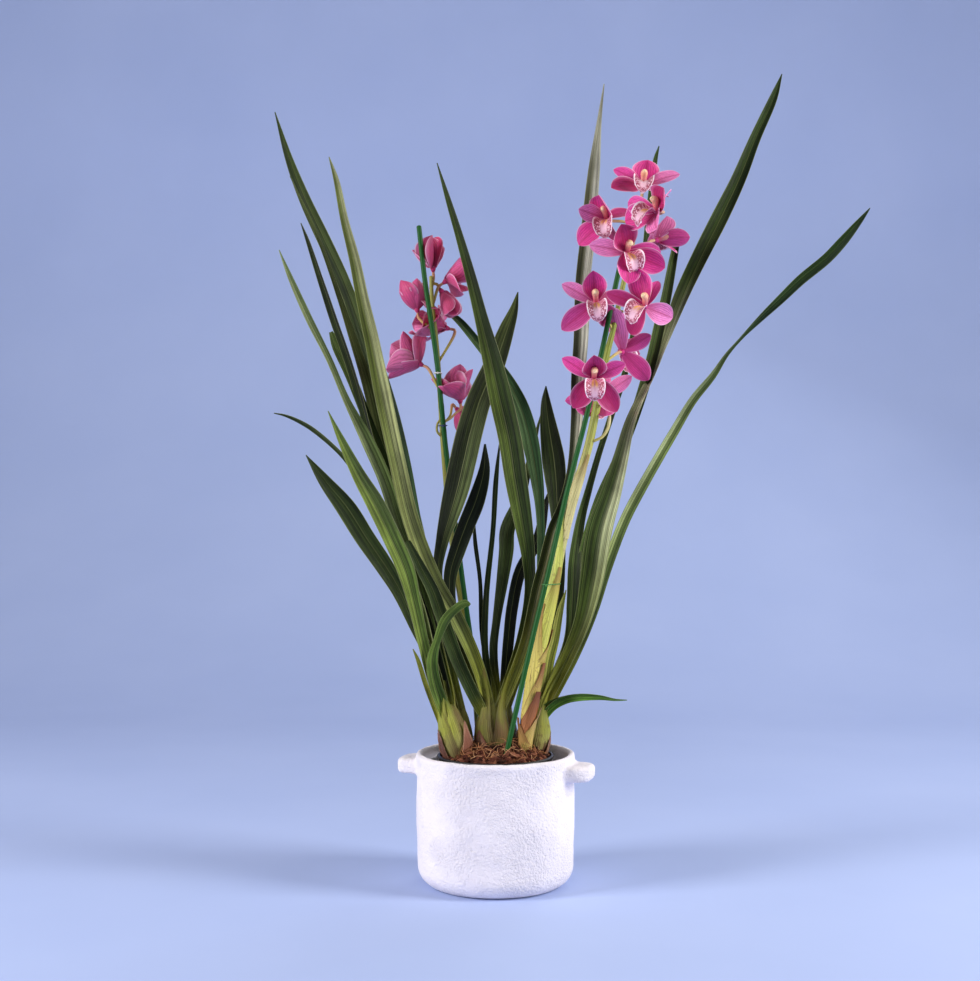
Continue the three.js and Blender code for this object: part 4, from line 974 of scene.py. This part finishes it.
def chip(skin, centre, size, turn, tint, draw):
    """A bark chip: a rough slab with broken corners."""
    def corner(x, y, z):
        return skin.add(centre + turn @ Vector((x, y, z)), tint=tint)

    rings = []
    for level in (-1, 1):
        ring = []
        for k in range(6):
            angle = math.tau * k / 6 + draw.uniform(-0.25, 0.25)
            reach = draw.uniform(0.75, 1.05) * (0.9 if level > 0 else 1)
            ring.append(corner(size.x * reach * math.cos(angle), size.y * reach * math.sin(angle),
                               level * size.z * draw.uniform(0.7, 1.1)))
        rings.append(ring)
    skin.loft(rings, ends=False)
    top = corner(0, 0, size.z * 1.1)
    low = corner(0, 0, -size.z * 1.1)
    for k in range(6):
        after = (k + 1) % 6
        skin.face((rings[1][k], rings[1][after], top))
        skin.face((rings[0][after], rings[0][k], low))


def make_medium(look):
    """The mound with its bark chips."""
    draw = random.Random(11)
    skin = Skin()
    tints = [linear(code)
             for code in ("50281e", "603528", "6f4233", "301912", "80503c", "401f17")]
    rings, sides = 26, 72
    edge = cup_inner(MEDIUM["edge"]) - GAP - 0.6
    bottom = POT["floor"] + GAP + CUP["wall"] + GAP
    foot = cup_inner(bottom) - GAP - 1
    grid = [[skin.add(polar(foot, math.tau * k / sides, bottom), tint=tints[3])
             for k in range(sides)]]
    for i in range(rings):
        ring = []
        for k in range(sides):
            point = polar(edge * (rings - i) / rings, math.tau * k / sides)
            x, y, _ = point
            point.z = medium_top(x, y)
            if i:
                point.z += rough_at(x * 0.35, y * 0.35, 0.7) * 1.6
                point.z += rough_at(x * 0.12, y * 0.12, 0.6) - 1.2
            ring.append(skin.add(point, tint=tints[draw.randrange(6)]))
        grid.append(ring)
    skin.loft(grid)
    for _ in range(MEDIUM["chips"]):
        angle = draw.uniform(0, math.tau)
        centre = polar(math.sqrt(draw.random()) * (edge - 4), angle)
        size = Vector((draw.uniform(2.2, 6.5), draw.uniform(1.4, 3.6), draw.uniform(0.8, 1.8)))
        turn = (Matrix.Rotation(draw.uniform(0, math.tau), 3, "Z")
                @ Matrix.Rotation(draw.uniform(-0.8, 0.8), 3, "X")
                @ Matrix.Rotation(draw.uniform(-0.6, 0.6), 3, "Y"))
        centre.z = medium_top(centre.x, centre.y) + draw.uniform(-1.4, 1.6)
        chip(skin, centre, size, turn, tints[draw.randrange(6)], draw)
    carry(skin.piece("bark_mound", [look], 35), "growing_medium")


def make_fibres(look):
    """Curly coco fibres that lie in and on the mound."""
    draw = random.Random(23)
    skin = Skin()
    tints = [linear(code) for code in ("b07a52", "8c5a3c", "c99a70", "6e4228")]
    room, step = 57, 3.0
    for i in range(MEDIUM["fibres"]):
        angle = draw.uniform(0, math.tau)
        x, y, _ = polar(math.sqrt(draw.random()) * (room - 3), angle)
        heading = draw.uniform(0, math.tau)
        bend = draw.uniform(-0.6, 0.6)
        lift = draw.uniform(0.2, 3.2) if i % 4 else draw.uniform(3, 9)
        points = []
        count = draw.randrange(5, 9) if i % 4 else draw.randrange(9, 16)
        for k in range(count):
            arch = math.sin(math.pi * k / (count - 1)) * lift
            x, y = clamp(x, -room, room), clamp(y, -room, room)
            if math.hypot(x, y) > room:
                break
            points.append(Vector((x, y, medium_top(x, y) + 0.2 + arch)))
            heading += bend + draw.uniform(-0.5, 0.5)
            x += step * math.cos(heading)
            y += step * math.sin(heading)
        if len(points) > 3:
            tint = tints[draw.randrange(4)]
            radii = [draw.uniform(0.16, 0.34)] * len(points)
            tube(skin, points, radii, 5, lambda share: tint, smooth=len(points) * 3)
    carry(skin.piece("coco_fibres", [look]), "growing_medium")


# ---- leaves and bulbs ---------------------------------------------------------------------------

LEAF_COLUMNS = [-1, -0.9, -0.7, -0.48, -0.26, -0.08, 0, 0.08, 0.26, 0.48, 0.7, 0.9, 1]
BASE_GREEN = linear("9ea038")
BASE_STRAW = linear("c9bd72")
FOOT_PALE = linear("c4bd7c")
FOOT_GREEN = linear("9c9e38")
FOOT_BROWN = linear("4e3026")
FOOT_SHADED = linear("443c14")
# How much of each code's red, green and blue a leaf shows under its wax.
LEAF_GAIN = (0.84, 0.81, 0.66)
# The bulb's rings, as a share of its height and of its radius.
BULB_RINGS = [(0, 0.62), (0.05, 0.74), (0.12, 0.86), (0.2, 0.95), (0.3, 1), (0.4, 0.995),
              (0.5, 0.96), (0.6, 0.9), (0.7, 0.8), (0.8, 0.7), (0.88, 0.6), (0.95, 0.47),
              (1, 0.34)]
# The radius round which sheaths lie, at even shares of the bulb's height.
SHEATHED = [0.62, 0.86, 0.97, 1.0, 0.96, 0.9, 0.8, 0.66, 0.5, 0.34]
SHEATHS = [
    dict(heading=2.4, sweep=0.55, height=0.5, tint="986450", tip="c09478", lift=3.2),
    dict(heading=0.5, sweep=0.45, height=0.48, tint="6e4a40", tip="9a705c", lift=3.5),
    dict(heading=4.9, sweep=0.7, height=0.42, tint="96705a", tip="7a4c3a", lift=3.8),
]


def leaf_fold(share, length, seed):
    """How far the blade stands out of its plane across: a V, arched and a little wavy."""
    fold = mix(LEAF["fold"], 0.85, 1 - ease(share / 0.3))
    waver = 0.05 * rough_at(share * length * 0.02, seed * 3.7, 0)
    arch = 0.10 + 0.08 * rough_at(share * 4, seed * 1.3, 9)
    uneven = 0.10 * rough_at(share * 5, seed * 2.1, 4)
    return lambda c: (fold * (math.sqrt(c * c + 0.012) - 0.11) + uneven * c ** 3
                      + 1.4 * arch * abs(c) * (1 - abs(c)) + waver * c * abs(c))


def add_leaf(skin, leaf, seed):
    """A strap leaf, V-folded at its keel, more so towards its clasping base, with edges that
    waver a little. Gives its stations and its tints."""
    last = len(leaf["route"]) - 1
    points = [place(column, row, sample(leaf["depth"], i / last))
              for i, (column, row, _) in enumerate(leaf["route"])]
    widths = [(width,) for _, _, width in leaf["route"]]
    rows, length = curve_stations(points, widths, round(clamp(19 + 7 * last, 20, 96)))
    stations = []
    for i, (centre, along, (width,), passed) in enumerate(rows):
        share = i / (len(rows) - 1)
        turn = math.radians(sample(leaf["roll"], passed))
        seen = math.cos(turn) + 0.3 * abs(math.sin(turn))
        thick = mix(LEAF["thickness"], 1.7, 0.6 * (1 - ease(share / 0.3)))
        stations.append(dict(
            centre=centre, along=along,
            side=Matrix.Rotation(turn, 3, along) @ AWAY.cross(along).normalized(),
            half=max(width * spread_at(centre.y) / 2 / seen, 0.28),
            rise=leaf_fold(share, length, seed), thick=thick * mix(1, 0.55, ease(share * 1.1))))
    # Tints of the left and right halves: the leaf's own colour with painted light and painted shade in it.
    halves = [[tuple(v * gain for v, gain in zip(linear(pair[side]), LEAF_GAIN))
               for pair in leaf["colours"]] for side in (0, 1)]

    def tint_at(c, along, _):
        left, right = (sample(half, along, eased) for half in halves)
        # Across the keel the tint passes from one half's colour to the other's, painted light and shade
        # included.
        colour = eased(left, right, 0.5 + c * 2.5)
        colour = mixed(colour, BASE_GREEN, 0.7 * (1 - ease((along - 0.03) / 0.15)))
        return mixed(colour, BASE_STRAW, 0.6 * (1 - ease(along / 0.06)))

    ribbon(skin, stations, LEAF_COLUMNS, tint_at)
    return stations, tint_at


def bulb_frame(bulb):
    """The bulb's foot, its axis and the two directions across it."""
    low = place(*bulb["foot"], bulb["depth"])
    axis = place(*bulb["top"], bulb["depth"]) - low
    side = axis.cross(AWAY).normalized()
    return low, axis, side, axis.cross(side).normalized()


def add_bulb(skin, bulb, seed):
    """The pear-shaped bulb inside its sheaths."""
    low, axis, side, other = bulb_frame(bulb)
    sides = 36
    green, light = linear("7d8434"), linear("b3b05a")
    rings = []
    for share, size in BULB_RINGS:
        ring = []
        centre = low + axis * (share * 0.78)
        for k in range(sides):
            angle = math.tau * k / sides
            ridge = 1 - 0.035 * abs(math.sin(angle * 3.5 + seed))
            point = around(centre, side, other, bulb["radius"] * size * ridge, angle)
            tint = mixed(green, light, 0.5 + 0.5 * math.sin(angle * 2 + seed * 2))
            ring.append(skin.add(point, k / sides * 4, share, 0, tint))
        rings.append(ring)
    skin.loft(rings, 1, flipped=True)


def add_sheath(skin, bulb, sheath, heading):
    """A dry sheath wrapped round part of the bulb, ending in a torn point."""
    low, axis, side, other = bulb_frame(bulb)
    tint, tip = linear(sheath["tint"]), linear(sheath["tip"])

    def point_at(layer, t, c):
        torn = 0.16 * rough_at(c * 5.5, heading * 9, 1)
        share = 0.02 + t * sheath["height"] * (1 - 0.62 * abs(c) ** 1.3 + torn)
        off = sheath["lift"] + 0.4 * (1 - layer) + 1.6 * t * t
        off += 0.9 * rough_at(c * 3, heading * 5, t * 4)
        reach = bulb["radius"] * sample(SHEATHED, share) * (1 - 0.05 * t) + off
        angle = heading + c * sheath["sweep"] * mix(1, 0.82, t)
        point = around(low + axis * share, side, other, reach, angle)
        worn = ease((t - 0.72) / 0.28) + 0.6 * ease((abs(c) - 0.75) / 0.25)
        return point, c * 1.5, t, 0, mixed(tint, tip, clamp(worn))

    wrap(skin, 14, 17, point_at, 1)


def add_leaf_foot(skin, bulb, stations, tint_at, seed):
    """The sheath of a leaf: it wraps the bulb from its foot and narrows up into the blade."""
    low, axis, side, other = bulb_frame(bulb)
    up = axis.normalized()
    total = len(stations) - 1
    joined = clamp(45 / (stations[-1]["centre"] - stations[0]["centre"]).length, 0.12, 0.5)
    guide = stations[round(total * 0.2)]["centre"] - low
    away = guide - up * guide.dot(up)
    heading = math.atan2(away.dot(other), away.dot(side))
    lift = clamp(away.length / 45, 0.2, 1.0) * 4.2 + 0.05 * (seed % 7)

    def point_at(layer, t, c):
        share = mix(0.03, 1.12, t)
        reach = bulb["radius"] * sample(SHEATHED, share) + 0.3 + 0.45 * (1 - layer)
        reach += lift * ease(t / 0.35) + 0.5 * rough_at(c * 2, seed * 3.3, t * 3)
        on_bulb = around(low + axis * share, side, other, reach, heading + c * mix(1.75, 0.9, t))
        at = clamp((2 * t - 1) * joined)
        s = stations[round(at * total)]
        out = s["side"].cross(s["along"]).normalized()
        on_leaf = s["centre"] + s["along"] * (min(t - 0.5, 0.0) * 32)
        on_leaf += s["side"] * (c * s["half"] * 0.97)
        on_leaf += out * (s["rise"](c) * s["half"] - 0.5 - 0.3 * layer)
        colour = eased(FOOT_PALE, FOOT_GREEN, t / 0.45)
        colour = mixed(colour, FOOT_SHADED, bulb["shaded"])
        flush = ease(rough_at(c * 1.2, seed * 1.7, t * 1.5) * 2.2)
        edge = ease((abs(c) - 0.55) / 0.45)
        for brown in (flush * (1 - ease(t / 0.7)), 0.6 * (1 - ease(t / 0.3)), 0.8 * edge * (1 - t)):
            colour = mixed(colour, FOOT_BROWN, brown)
        colour = eased(colour, tint_at(c, at, 0), (t - 0.45) / 0.5)
        return on_bulb.lerp(on_leaf, ease((t - 0.38) / 0.62)), c * 1.5, t * 0.5, 0, colour

    wrap(skin, 20, 15, point_at, 1)


def make_shoots(leaf_finish, bulb_finish):
    for i, (name, leaves) in enumerate(LEAVES.items()):
        skin = Skin()
        bulb = BULBS[name]
        for seed, blade in enumerate(leaves, i * 7):
            add_leaf_foot(skin, bulb, *add_leaf(skin, blade, seed), seed)
        add_bulb(skin, bulb, i)
        for sheath in SHEATHS:
            add_sheath(skin, bulb, sheath, sheath["heading"] + i * 1.1)
        carry(skin.piece(name + "_grown", [leaf_finish, bulb_finish]), name)


# ---- stakes, spikes and ties ----------------------------------------------------------------------


def make_stake(name, look):
    """A coated rod with small moulded rings and a rounded top."""
    points = [place(*stop) for stop in STAKES[name]]
    stations, length = curve_stations(points, [()] * len(points), 160)
    pitch = 26
    radii = []
    for i in range(len(stations)):
        turns = i * length / (len(stations) - 1) / pitch
        radii.append(STAKE_RADIUS * (0.93 + 0.07 * max(0.0, math.cos(turns * math.tau)) ** 24))
    skin = Skin()
    tube(skin, [centre for centre, *_ in stations], radii, 24, lambda share: (1, 1, 1))
    carry(skin.piece(name + "_rod", [look]), name)


def bloom_frame(bloom, face="face", top="top"):
    """The flower's own axes: x to its right, y to its top sepal and z the way it faces."""
    z = Vector(bloom.get(face, bloom["face"])).normalized()
    y = Vector(bloom.get(top, bloom["top"]))
    y = (y - z * y.dot(z)).normalized()
    return Matrix.Translation(place(*bloom["hub"])) @ Matrix((y.cross(z), y, z)).transposed().to_4x4()


def add_stalk(skin, bloom, tints):
    """A flower stalk from the spike to the back of its bloom, thicker where the ovary is, with a
    small bract at its foot."""
    turn = bloom_frame(bloom)
    seat = HUB["back"] - 0.3
    passed = bloom.get("via", [])
    points = [place(*bloom["start"]), *[place(*stop) for stop in passed],
              turn @ Vector((0, 0, seat - 6)), turn @ Vector((0, 0, seat))]
    radii = [1.3, *[1.35] * len(passed), 1.75, 1.5]
    low, high = tints
    tube(skin, points, radii, 12, lambda share: eased(low, high, (share - 0.35) / 0.6), smooth=22)
    way = (points[1] - points[0]).normalized()
    side = way.cross(UP)
    side = (side if side.length > 0.1 else way.cross(AWAY)).normalized()
    bract = [dict(centre=points[0] + way * (7 * share) + UP * (0.9 + share * 0.8), along=way,
                  side=side, half=2.3 * math.cos(share * 1.5) + 0.12, thick=0.4,
                  rise=lambda c: 0.5 * c * c) for share in (i / 8 for i in range(9))]
    ribbon(skin, bract, [-1, -0.5, 0, 0.5, 1], lambda c, along, _: mixed(low, BASE_STRAW, along))


def add_stem_sheath(skin, stations, low, high, heading, stand, tint, tip):
    """A papery sheath wrapped round a stretch of the stem, with a pointed free end."""
    tint, tip = linear(tint), linear(tip)

    def point_at(layer, t, c):
        centre, along, (radius,), _ = stations[round(mix(low, high, t) * (len(stations) - 1))]
        side = along.cross(AWAY).normalized()
        angle = heading + c * mix(2.6, 0.25, ease((t - 0.35) / 0.65))
        reach = radius + 0.35 + 0.45 * (1 - layer) + stand * t ** 3
        reach += 0.35 * rough_at(c * 2, t * 5, heading * 3)
        worn = clamp(ease((t - 0.6) / 0.4) + ease((abs(c) - 0.8) / 0.2) * 0.5)
        return around(centre, side, along.cross(side), reach, angle), c, t, 0, mixed(tint, tip, worn)

    wrap(skin, 18, 15, point_at)


# Each sheath: where it starts and ends along the stem, the side its point is on, how far the
# point stands off, and the colours of its body and its worn edge.
STEM_SHEATHS = {
    "spike_right": [
        (0.0, 0.2, 2.5, 2.5, "d2bd60", "8a5430"), (0.04, 0.3, 0.7, 1.2, "d9c766", "a8803e"),
        (0.0, 0.12, 3.1, 5.5, "c2a85c", "9a7444"), (0.0, 0.15, 2.2, 4.5, "a86a3e", "7a4628"),
        (0.0, 0.1, 0.3, 4.0, "b08a4e", "8a5c38"), (0.13, 0.26, 3.6, 3.0, "b8a250", "84543a"),
        (0.16, 0.37, 2.1, 0.8, "c6c458", "a88a44"), (0.27, 0.478, 0.2, 2.6, "cdd066", "a8b048"),
        (0.42, 0.568, 1.9, 0.6, "cdc284", "a88c50")],
    "spike_left": [
        (0.04, 0.3, 1.6, 1.6, "8a8f3c", "a08050"), (0.26, 0.5, 4.6, 1.6, "94984a", "a08050"),
        (0.42, 0.62, 2.0, 1.2, "a8a858", "a08050")],
}
# Colours along each stem from its foot to its tip, and of its stalks at the stem and the bloom.
STEM_TINTS = {
    "spike_right": ["c8b878", "ccc668", "cccb5c", "bcc04c", "c4bf7c", "c6ba78", "a8a852",
                    "8c9838", "98a044", "a4a650", "a8a858"],
    "spike_left": ["8a8a3c", "94923e", "9c9a48"],
}
STALK_TINTS = {"spike_right": ["c4b45e", "d8a888"], "spike_left": ["b0a24e", "c88a6a"]}
# A bent stalk low on the right stem, whose bloom stands behind the others.
BENT_STALK = [(594, 441, -17), (602, 437, -17), (607.5, 429, -17), (609.5, 417, -15),
              (606, 405, -5)]


def make_spike(name, blooms, look):
    """A flower stem with its sheaths and stalks."""
    points = [place(*stop[:3]) for stop in SPIKES[name]]
    radii = [stop[3] for stop in SPIKES[name]]
    tints = [linear(code) for code in STEM_TINTS[name]]
    stalk_tints = [linear(code) for code in STALK_TINTS[name]]
    skin = Skin()
    tube(skin, points, radii, 20, lambda share: sample(tints, share, mixed), smooth=110)
    stations, _ = curve_stations(points, [(r,) for r in radii], 240)
    for sheath in STEM_SHEATHS[name]:
        add_stem_sheath(skin, stations, *sheath)
    if name == "spike_right":
        tube(skin, [place(*stop) for stop in BENT_STALK], [1.5, 1.6, 1.8, 1.7, 1.4], 12,
             lambda share: mixed(stalk_tints[0], linear("e6dcae"), share), smooth=26)
    for bloom in blooms:
        add_stalk(skin, bloom, stalk_tints)
    carry(skin.piece(name + "_stem", [look]), name)


def crossing(route, row):
    """Where a rod passes a row of the picture, and its radius there with a little room."""
    low, high = next((a, b) for a, b in zip(route, route[1:]) if b[1] <= row)
    column, _, depth, *radius = mixed(low, high, (row - low[1]) / (high[1] - low[1]))
    centre = place(column, row, depth)
    centre.z = place(column, row, 0).z
    return centre, (radius[0] if radius else STAKE_RADIUS) * 1.06


def make_tie(name, side, row, look):
    """A wire loop round stake and stem, with its two ends twisted together."""
    rods = [crossing(STAKES["stake_" + side], row), crossing(SPIKES["spike_" + side], row)]
    wire, steps, sides = 0.6, 72, 10
    points = []
    for i in range(steps):
        way = polar(1, math.tau * i / steps)
        centre, radius = max(rods, key=lambda rod: rod[0].dot(way) + rod[1])
        points.append(centre + way * (radius + wire + GAP * 0.6))
    skin = Skin()
    rings = []
    for i, point in enumerate(points):
        out = (points[(i + 1) % steps] - points[i - 1]).normalized().cross(UP)
        rings.append([skin.add(around(point, out, UP, wire, math.tau * k / sides),
                               k / sides, i / steps) for k in range(sides)])
    skin.loft([*rings, rings[0]], ends=False, flipped=True)
    front = min(points, key=lambda p: p.y)
    for turn in (0, math.pi):
        tail = [front + Vector((0.62 * math.cos(turn + k * 0.9), -0.4 - k * 0.55,
                                0.62 * math.sin(turn + k * 0.9) - 0.1 * k)) for k in range(12)]
        tube(skin, tail, [wire * 0.8] * len(tail), 8, lambda share: (1, 1, 1), smooth=30)
    carry(skin.piece(name + "_wire", [look]), name)


# ---- blooms -----------------------------------------------------------------------------------------

TEPAL_COLUMNS = [-1, -0.86, -0.66, -0.44, -0.22, 0, 0.22, 0.44, 0.66, 0.86, 1]
LIP_COLUMNS = [-1, -0.88, -0.72, -0.56, -0.4, -0.26, -0.14, 0, 0.14, 0.26, 0.4, 0.56, 0.72,
               0.88, 1]


def tepal_width(share):
    """Half width of a tepal by its length: a narrow foot, widest past the middle, and a rounded
    tip with a short point."""
    if share < 0.56:
        return 0.34 + 0.66 * math.sin(math.pi / 2 * share / 0.56)
    return max(1 - ((share - 0.56) / 0.44) ** 2.0, 0.0) ** 0.72


def reach_point(hub, column, row, reach, side):
    """The point of a picture's ray at a distance from the hub, nearer (-1) or farther (1)."""
    start = place(column, row, 0)
    way = place(column, row, 1) - start
    gap = start - hub
    a, b, c = way.dot(way), 2 * way.dot(gap), gap.dot(gap) - reach * reach
    root = max(b * b - 4 * a * c, 0)
    return place(column, row, (-b + side * math.sqrt(root)) / (2 * a))


def tepal_line(bloom, kind, turn):
    """The points along the middle of a tepal, from the hub's edge to its tip."""
    shape = TEPALS[kind]
    out = polar(1, math.radians(shape["direction"]))
    opened = bloom.get("open", 1)
    foot = out * HUB["radius"] * 0.75
    if kind in bloom["tips"]:
        foot = turn @ foot
        column, row, side, *own = bloom["tips"][kind]
        reach = own[0] if own else shape["length"] * 0.96
        tip = reach_point(turn.translation, column, row, reach, side)
        forward = turn.to_3x3() @ UP
        middle = (foot + tip) / 2 + forward * bloom.get("bow", shape["bulge"])
        return [foot.lerp(middle, t).lerp(middle.lerp(tip, t), t)
                for t in (i / 18 for i in range(19))]
    step = shape["length"] * (1 if opened == 1 else BUD["length"]) / 18
    line = [foot]
    for i in range(18):
        flat, bud = mix(76, 92, i / 17), mix(50, -48, i / 17)
        lean = math.radians(mix(bud, flat, (opened - 0.15) / 0.85))
        line.append(line[-1] + (out * math.sin(lean) + UP * math.cos(lean)) * step)
    return [turn @ point for point in line]


def tepal_rise(cup, share, seed):
    """How far a tepal stands out of its plane across: cupped, wavy, twisted and grooved."""
    wave = 0.10 * rough_at(share * 3.2, seed * 5.3, 2)
    twist = 0.16 * rough_at(share * 2.1, seed * 3.1, 7)
    groove = 0.05 * (1 - share)
    return lambda c: (cup * c * c + wave * abs(c) ** 3 + twist * c
                      - groove * math.exp(-(c * 7) ** 2))


def add_tepal(skin, bloom, kind, turn, tint, seed):
    shape = TEPALS[kind]
    opened = bloom.get("open", 1)
    cup = shape["cup"] * (1 if opened == 1 else BUD["cup"])
    width = shape["width"] * bloom.get("size", 1)
    line = tepal_line(bloom, kind, turn)
    axes = turn.to_3x3()
    forward = axes @ UP
    stations = []
    for i, (centre, along) in enumerate(zip(line, ways_along(line))):
        share = i / (len(line) - 1)
        inward = forward if opened > 0.6 else (turn.translation + forward * 16 - centre)
        side = along.cross(inward)
        side = side.normalized() if side.length > 1e-4 else axes @ Vector((1, 0, 0))
        stations.append(dict(centre=centre, along=along, side=side,
                             half=max(width / 2 * tepal_width(share), 0.25),
                             thick=TEPAL_THICKNESS * mix(1.3, 0.6, share),
                             rise=tepal_rise(cup, share, seed)))
    ribbon(skin, stations, TEPAL_COLUMNS, lambda c, along, _: tint)


def make_bloom(name, bloom, look, tints, seed):
    """Five tepals on their hub. The two inner ones, left and right, have their own tint."""
    turn = bloom_frame(bloom)
    inner, outer = (linear(code) for code in tints)
    shade = bloom.get("shade", {})
    skin = Skin()
    for k, kind in enumerate(TEPALS):
        tint = inner if kind in ("left", "right") else outer
        # Tepals named in shade mix in painted shade when their code is darker and painted light when it is
        # paler.
        if kind in shade:
            tint = mixed(tint, linear(shade[kind]), 0.75)
        add_tepal(skin, bloom, kind, turn, tint, seed * 5 + k)
    hub_line = [turn @ Vector((0, 0, z)) for z in (HUB["back"], -2, 0, 1)]
    tube(skin, hub_line, [1.9, 2.8, 3.2, 2.4], 16, lambda share: outer, smooth=9)
    carry(skin.piece(name + "_tepals", [look]), name)


def lip_rise(fold, share, seed):
    """How far the lip stands out of its plane across: raised lobes, a frill and two keels."""
    frill = 0.14 * ease((share - 0.5) / 0.3)
    keel = 0.16 * ease(share / 0.15) * (1 - ease((share - 0.4) / 0.15))
    return lambda c: (fold * abs(c) ** 1.7
                      + frill * abs(c) ** 3 * math.sin(share * 34 + c * 4 + seed)
                      + keel * math.exp(-((abs(c) - 0.2) * 11) ** 2))


def make_lip(name, bloom, look, column_finish, seed):
    """The lip with its raised side lobes, two keels and a rolled front lobe, and the arched
    column with its cap above it."""
    turn = bloom_frame(bloom, "lip_face", "lip_top")
    axes = turn.to_3x3()
    line = [Vector((0, y, z)) for y, z in LIP["line"]]
    stations, _ = curve_stations(line, list(zip(LIP["halves"], LIP["folds"])), 30)
    skin = Skin()
    rows = [dict(centre=turn @ centre, along=axes @ along, side=axes @ Vector((-1, 0, 0)),
                 half=max(half, 0.5), thick=0.7, rise=lip_rise(fold, i / 29, seed))
            for i, (centre, along, (half, fold), _) in enumerate(stations)]
    pale, blush, gold = linear("f3c8d4"), linear("e58fb4"), linear("e0a23a")

    def lip_tint(c, along, under):
        colour = mixed(pale, blush, clamp(0.25 + 0.9 * ease((0.5 - along) / 0.4)))
        ridge = math.exp(-((abs(c) - 0.2) * 8) ** 2) * (1 - ease((along - 0.38) / 0.16))
        colour = mixed(colour, gold, clamp(ridge * 1.1) * (1 - under))
        return mixed(colour, blush, under * 0.5)

    ribbon(skin, rows, LIP_COLUMNS, lip_tint)
    rose, peach, cream = linear("c8406e"), linear("f0b492"), linear("f0d2a4")
    column, cap = ([turn @ Vector((0, y, z)) for y, z in COLUMN[key]] for key in ("line", "cap"))
    tube(skin, column, COLUMN["radii"], 16, lambda share: eased(rose, peach, share), slot=1,
         smooth=18)
    tube(skin, cap, COLUMN["cap_radii"], 14, lambda share: cream, slot=1, smooth=9)
    carry(skin.piece(name + "_lobes", [look, column_finish]), name)


# ---- floor, light and camera ------------------------------------------------------------------------


def make_floor():
    """A pale floor that sweeps up into a backdrop far behind."""
    skin = Skin()
    width, near, far, tall, bend = 9000, -4200, 2600, 5200, 1400
    profile = [(near, 0), (far - bend, 0)]
    profile += [(far - bend + bend * math.sin(a), bend - bend * math.cos(a))
                for a in (math.radians(d) for d in range(8, 90, 8))]
    profile.append((far, tall))
    rows = [[skin.add(Vector((x, y, z))) for x in (-width, width)] for y, z in profile]
    for a, b in zip(rows, rows[1:]):
        skin.face((a[0], a[1], b[1], b[0]))
    skin.piece("studio_floor", [floor_look()])


def add_light(name, spot, size, power, colour):
    """A soft lamp that looks at the middle of the plant."""
    data = bpy.data.lights.new(name, "AREA")
    data.shape = "RECTANGLE"
    data.size, data.size_y = size
    data.energy = power
    data.color = colour
    lamp = bpy.data.objects.new(name, data)
    lamp.location = spot
    way = Vector((0, 0, 0.5)) - Vector(spot)
    lamp.rotation_euler = way.to_track_quat("-Z", "Y").to_euler()
    bpy.context.scene.collection.objects.link(lamp)


def make_studio():
    world = bpy.data.worlds.new("studio")
    bpy.context.scene.world = world
    world.use_nodes = True
    background = world.node_tree.nodes["Background"]
    background.inputs["Color"].default_value = (0.93, 0.94, 1, 1)
    background.inputs["Strength"].default_value = 0.2
    add_light("left", (-2.1, -1.0, 1.1), (0.8, 1.6), 57, (1, 0.98, 0.97))
    add_light("right", (2.1, -0.7, 1.2), (0.8, 1.6), 61, (1, 0.99, 0.97))
    add_light("front", (-0.5, -2.4, 2.0), (0.8, 0.8), 7, (1, 0.98, 0.96))
    add_light("rim", (1.0, 1.7, 1.7), (1.0, 1.0), 10, (1, 1, 1))


def make_camera():
    data = bpy.data.cameras.new("camera")
    data.sensor_width = SENSOR
    data.lens = VIEW["focal"] * SENSOR / PICTURE
    data.clip_end = 60
    camera = bpy.data.objects.new("camera", data)
    camera.location = Vector((VIEW["x"], -VIEW["distance"], VIEW["z"])) * MM
    camera.rotation_euler = (math.pi / 2, 0, 0)
    bpy.context.scene.collection.objects.link(camera)
    bpy.context.scene.camera = camera


# ---- the object -------------------------------------------------------------------------------------


def main():
    bpy.context.scene.view_settings.view_transform = "Standard"
    make_camera()
    make_floor()
    make_studio()

    make_pot(ceramic_look())
    make_growing_pot(plastic_look("black_plastic", "1b1b1d", 0.45, 0.2))
    bark = bark_look()
    make_medium(bark)
    make_fibres(bark)

    make_shoots(leaf_look(), bulb_look())
    stake = plastic_look("stake_green", "1c5420", 0.42, 0.35, 0.2)
    for name in STAKES:
        make_stake(name, stake)
    stem = stem_look()
    make_spike("spike_right", RIGHT_BLOOMS, stem)
    make_spike("spike_left", LEFT_BLOOMS, stem)
    wires = {name: plastic_look(name, code, 0.35, 0.2) for name, code in
             (("tie_pale", "d9d7cc"), ("tie_blue", "24305c"), ("tie_green", "3f7f3c"))}
    for name, (side, row, slot) in TIES.items():
        make_tie(name, side, row, wires[slot])

    rose = petal_look("petal_rose", "8e1a54", "a3124f", "c0508c")
    dull = petal_look("petal_dull_rose", "86224a", "90204a", "cc5c88")
    lip, column = lip_look(), column_look()
    for number, bloom in enumerate(RIGHT_BLOOMS, 1):
        make_bloom(f"bloom_right_{number}", bloom, rose, ("e64ca2", "da388e"),
                   number)
        make_lip(f"lip_right_{number}", bloom, lip, column, number)
    for number, bloom in enumerate(LEFT_BLOOMS, 1):
        make_bloom(f"bloom_left_{number}", bloom, dull, ("e2588e", "cc3a70"),
                   20 + number)


main()
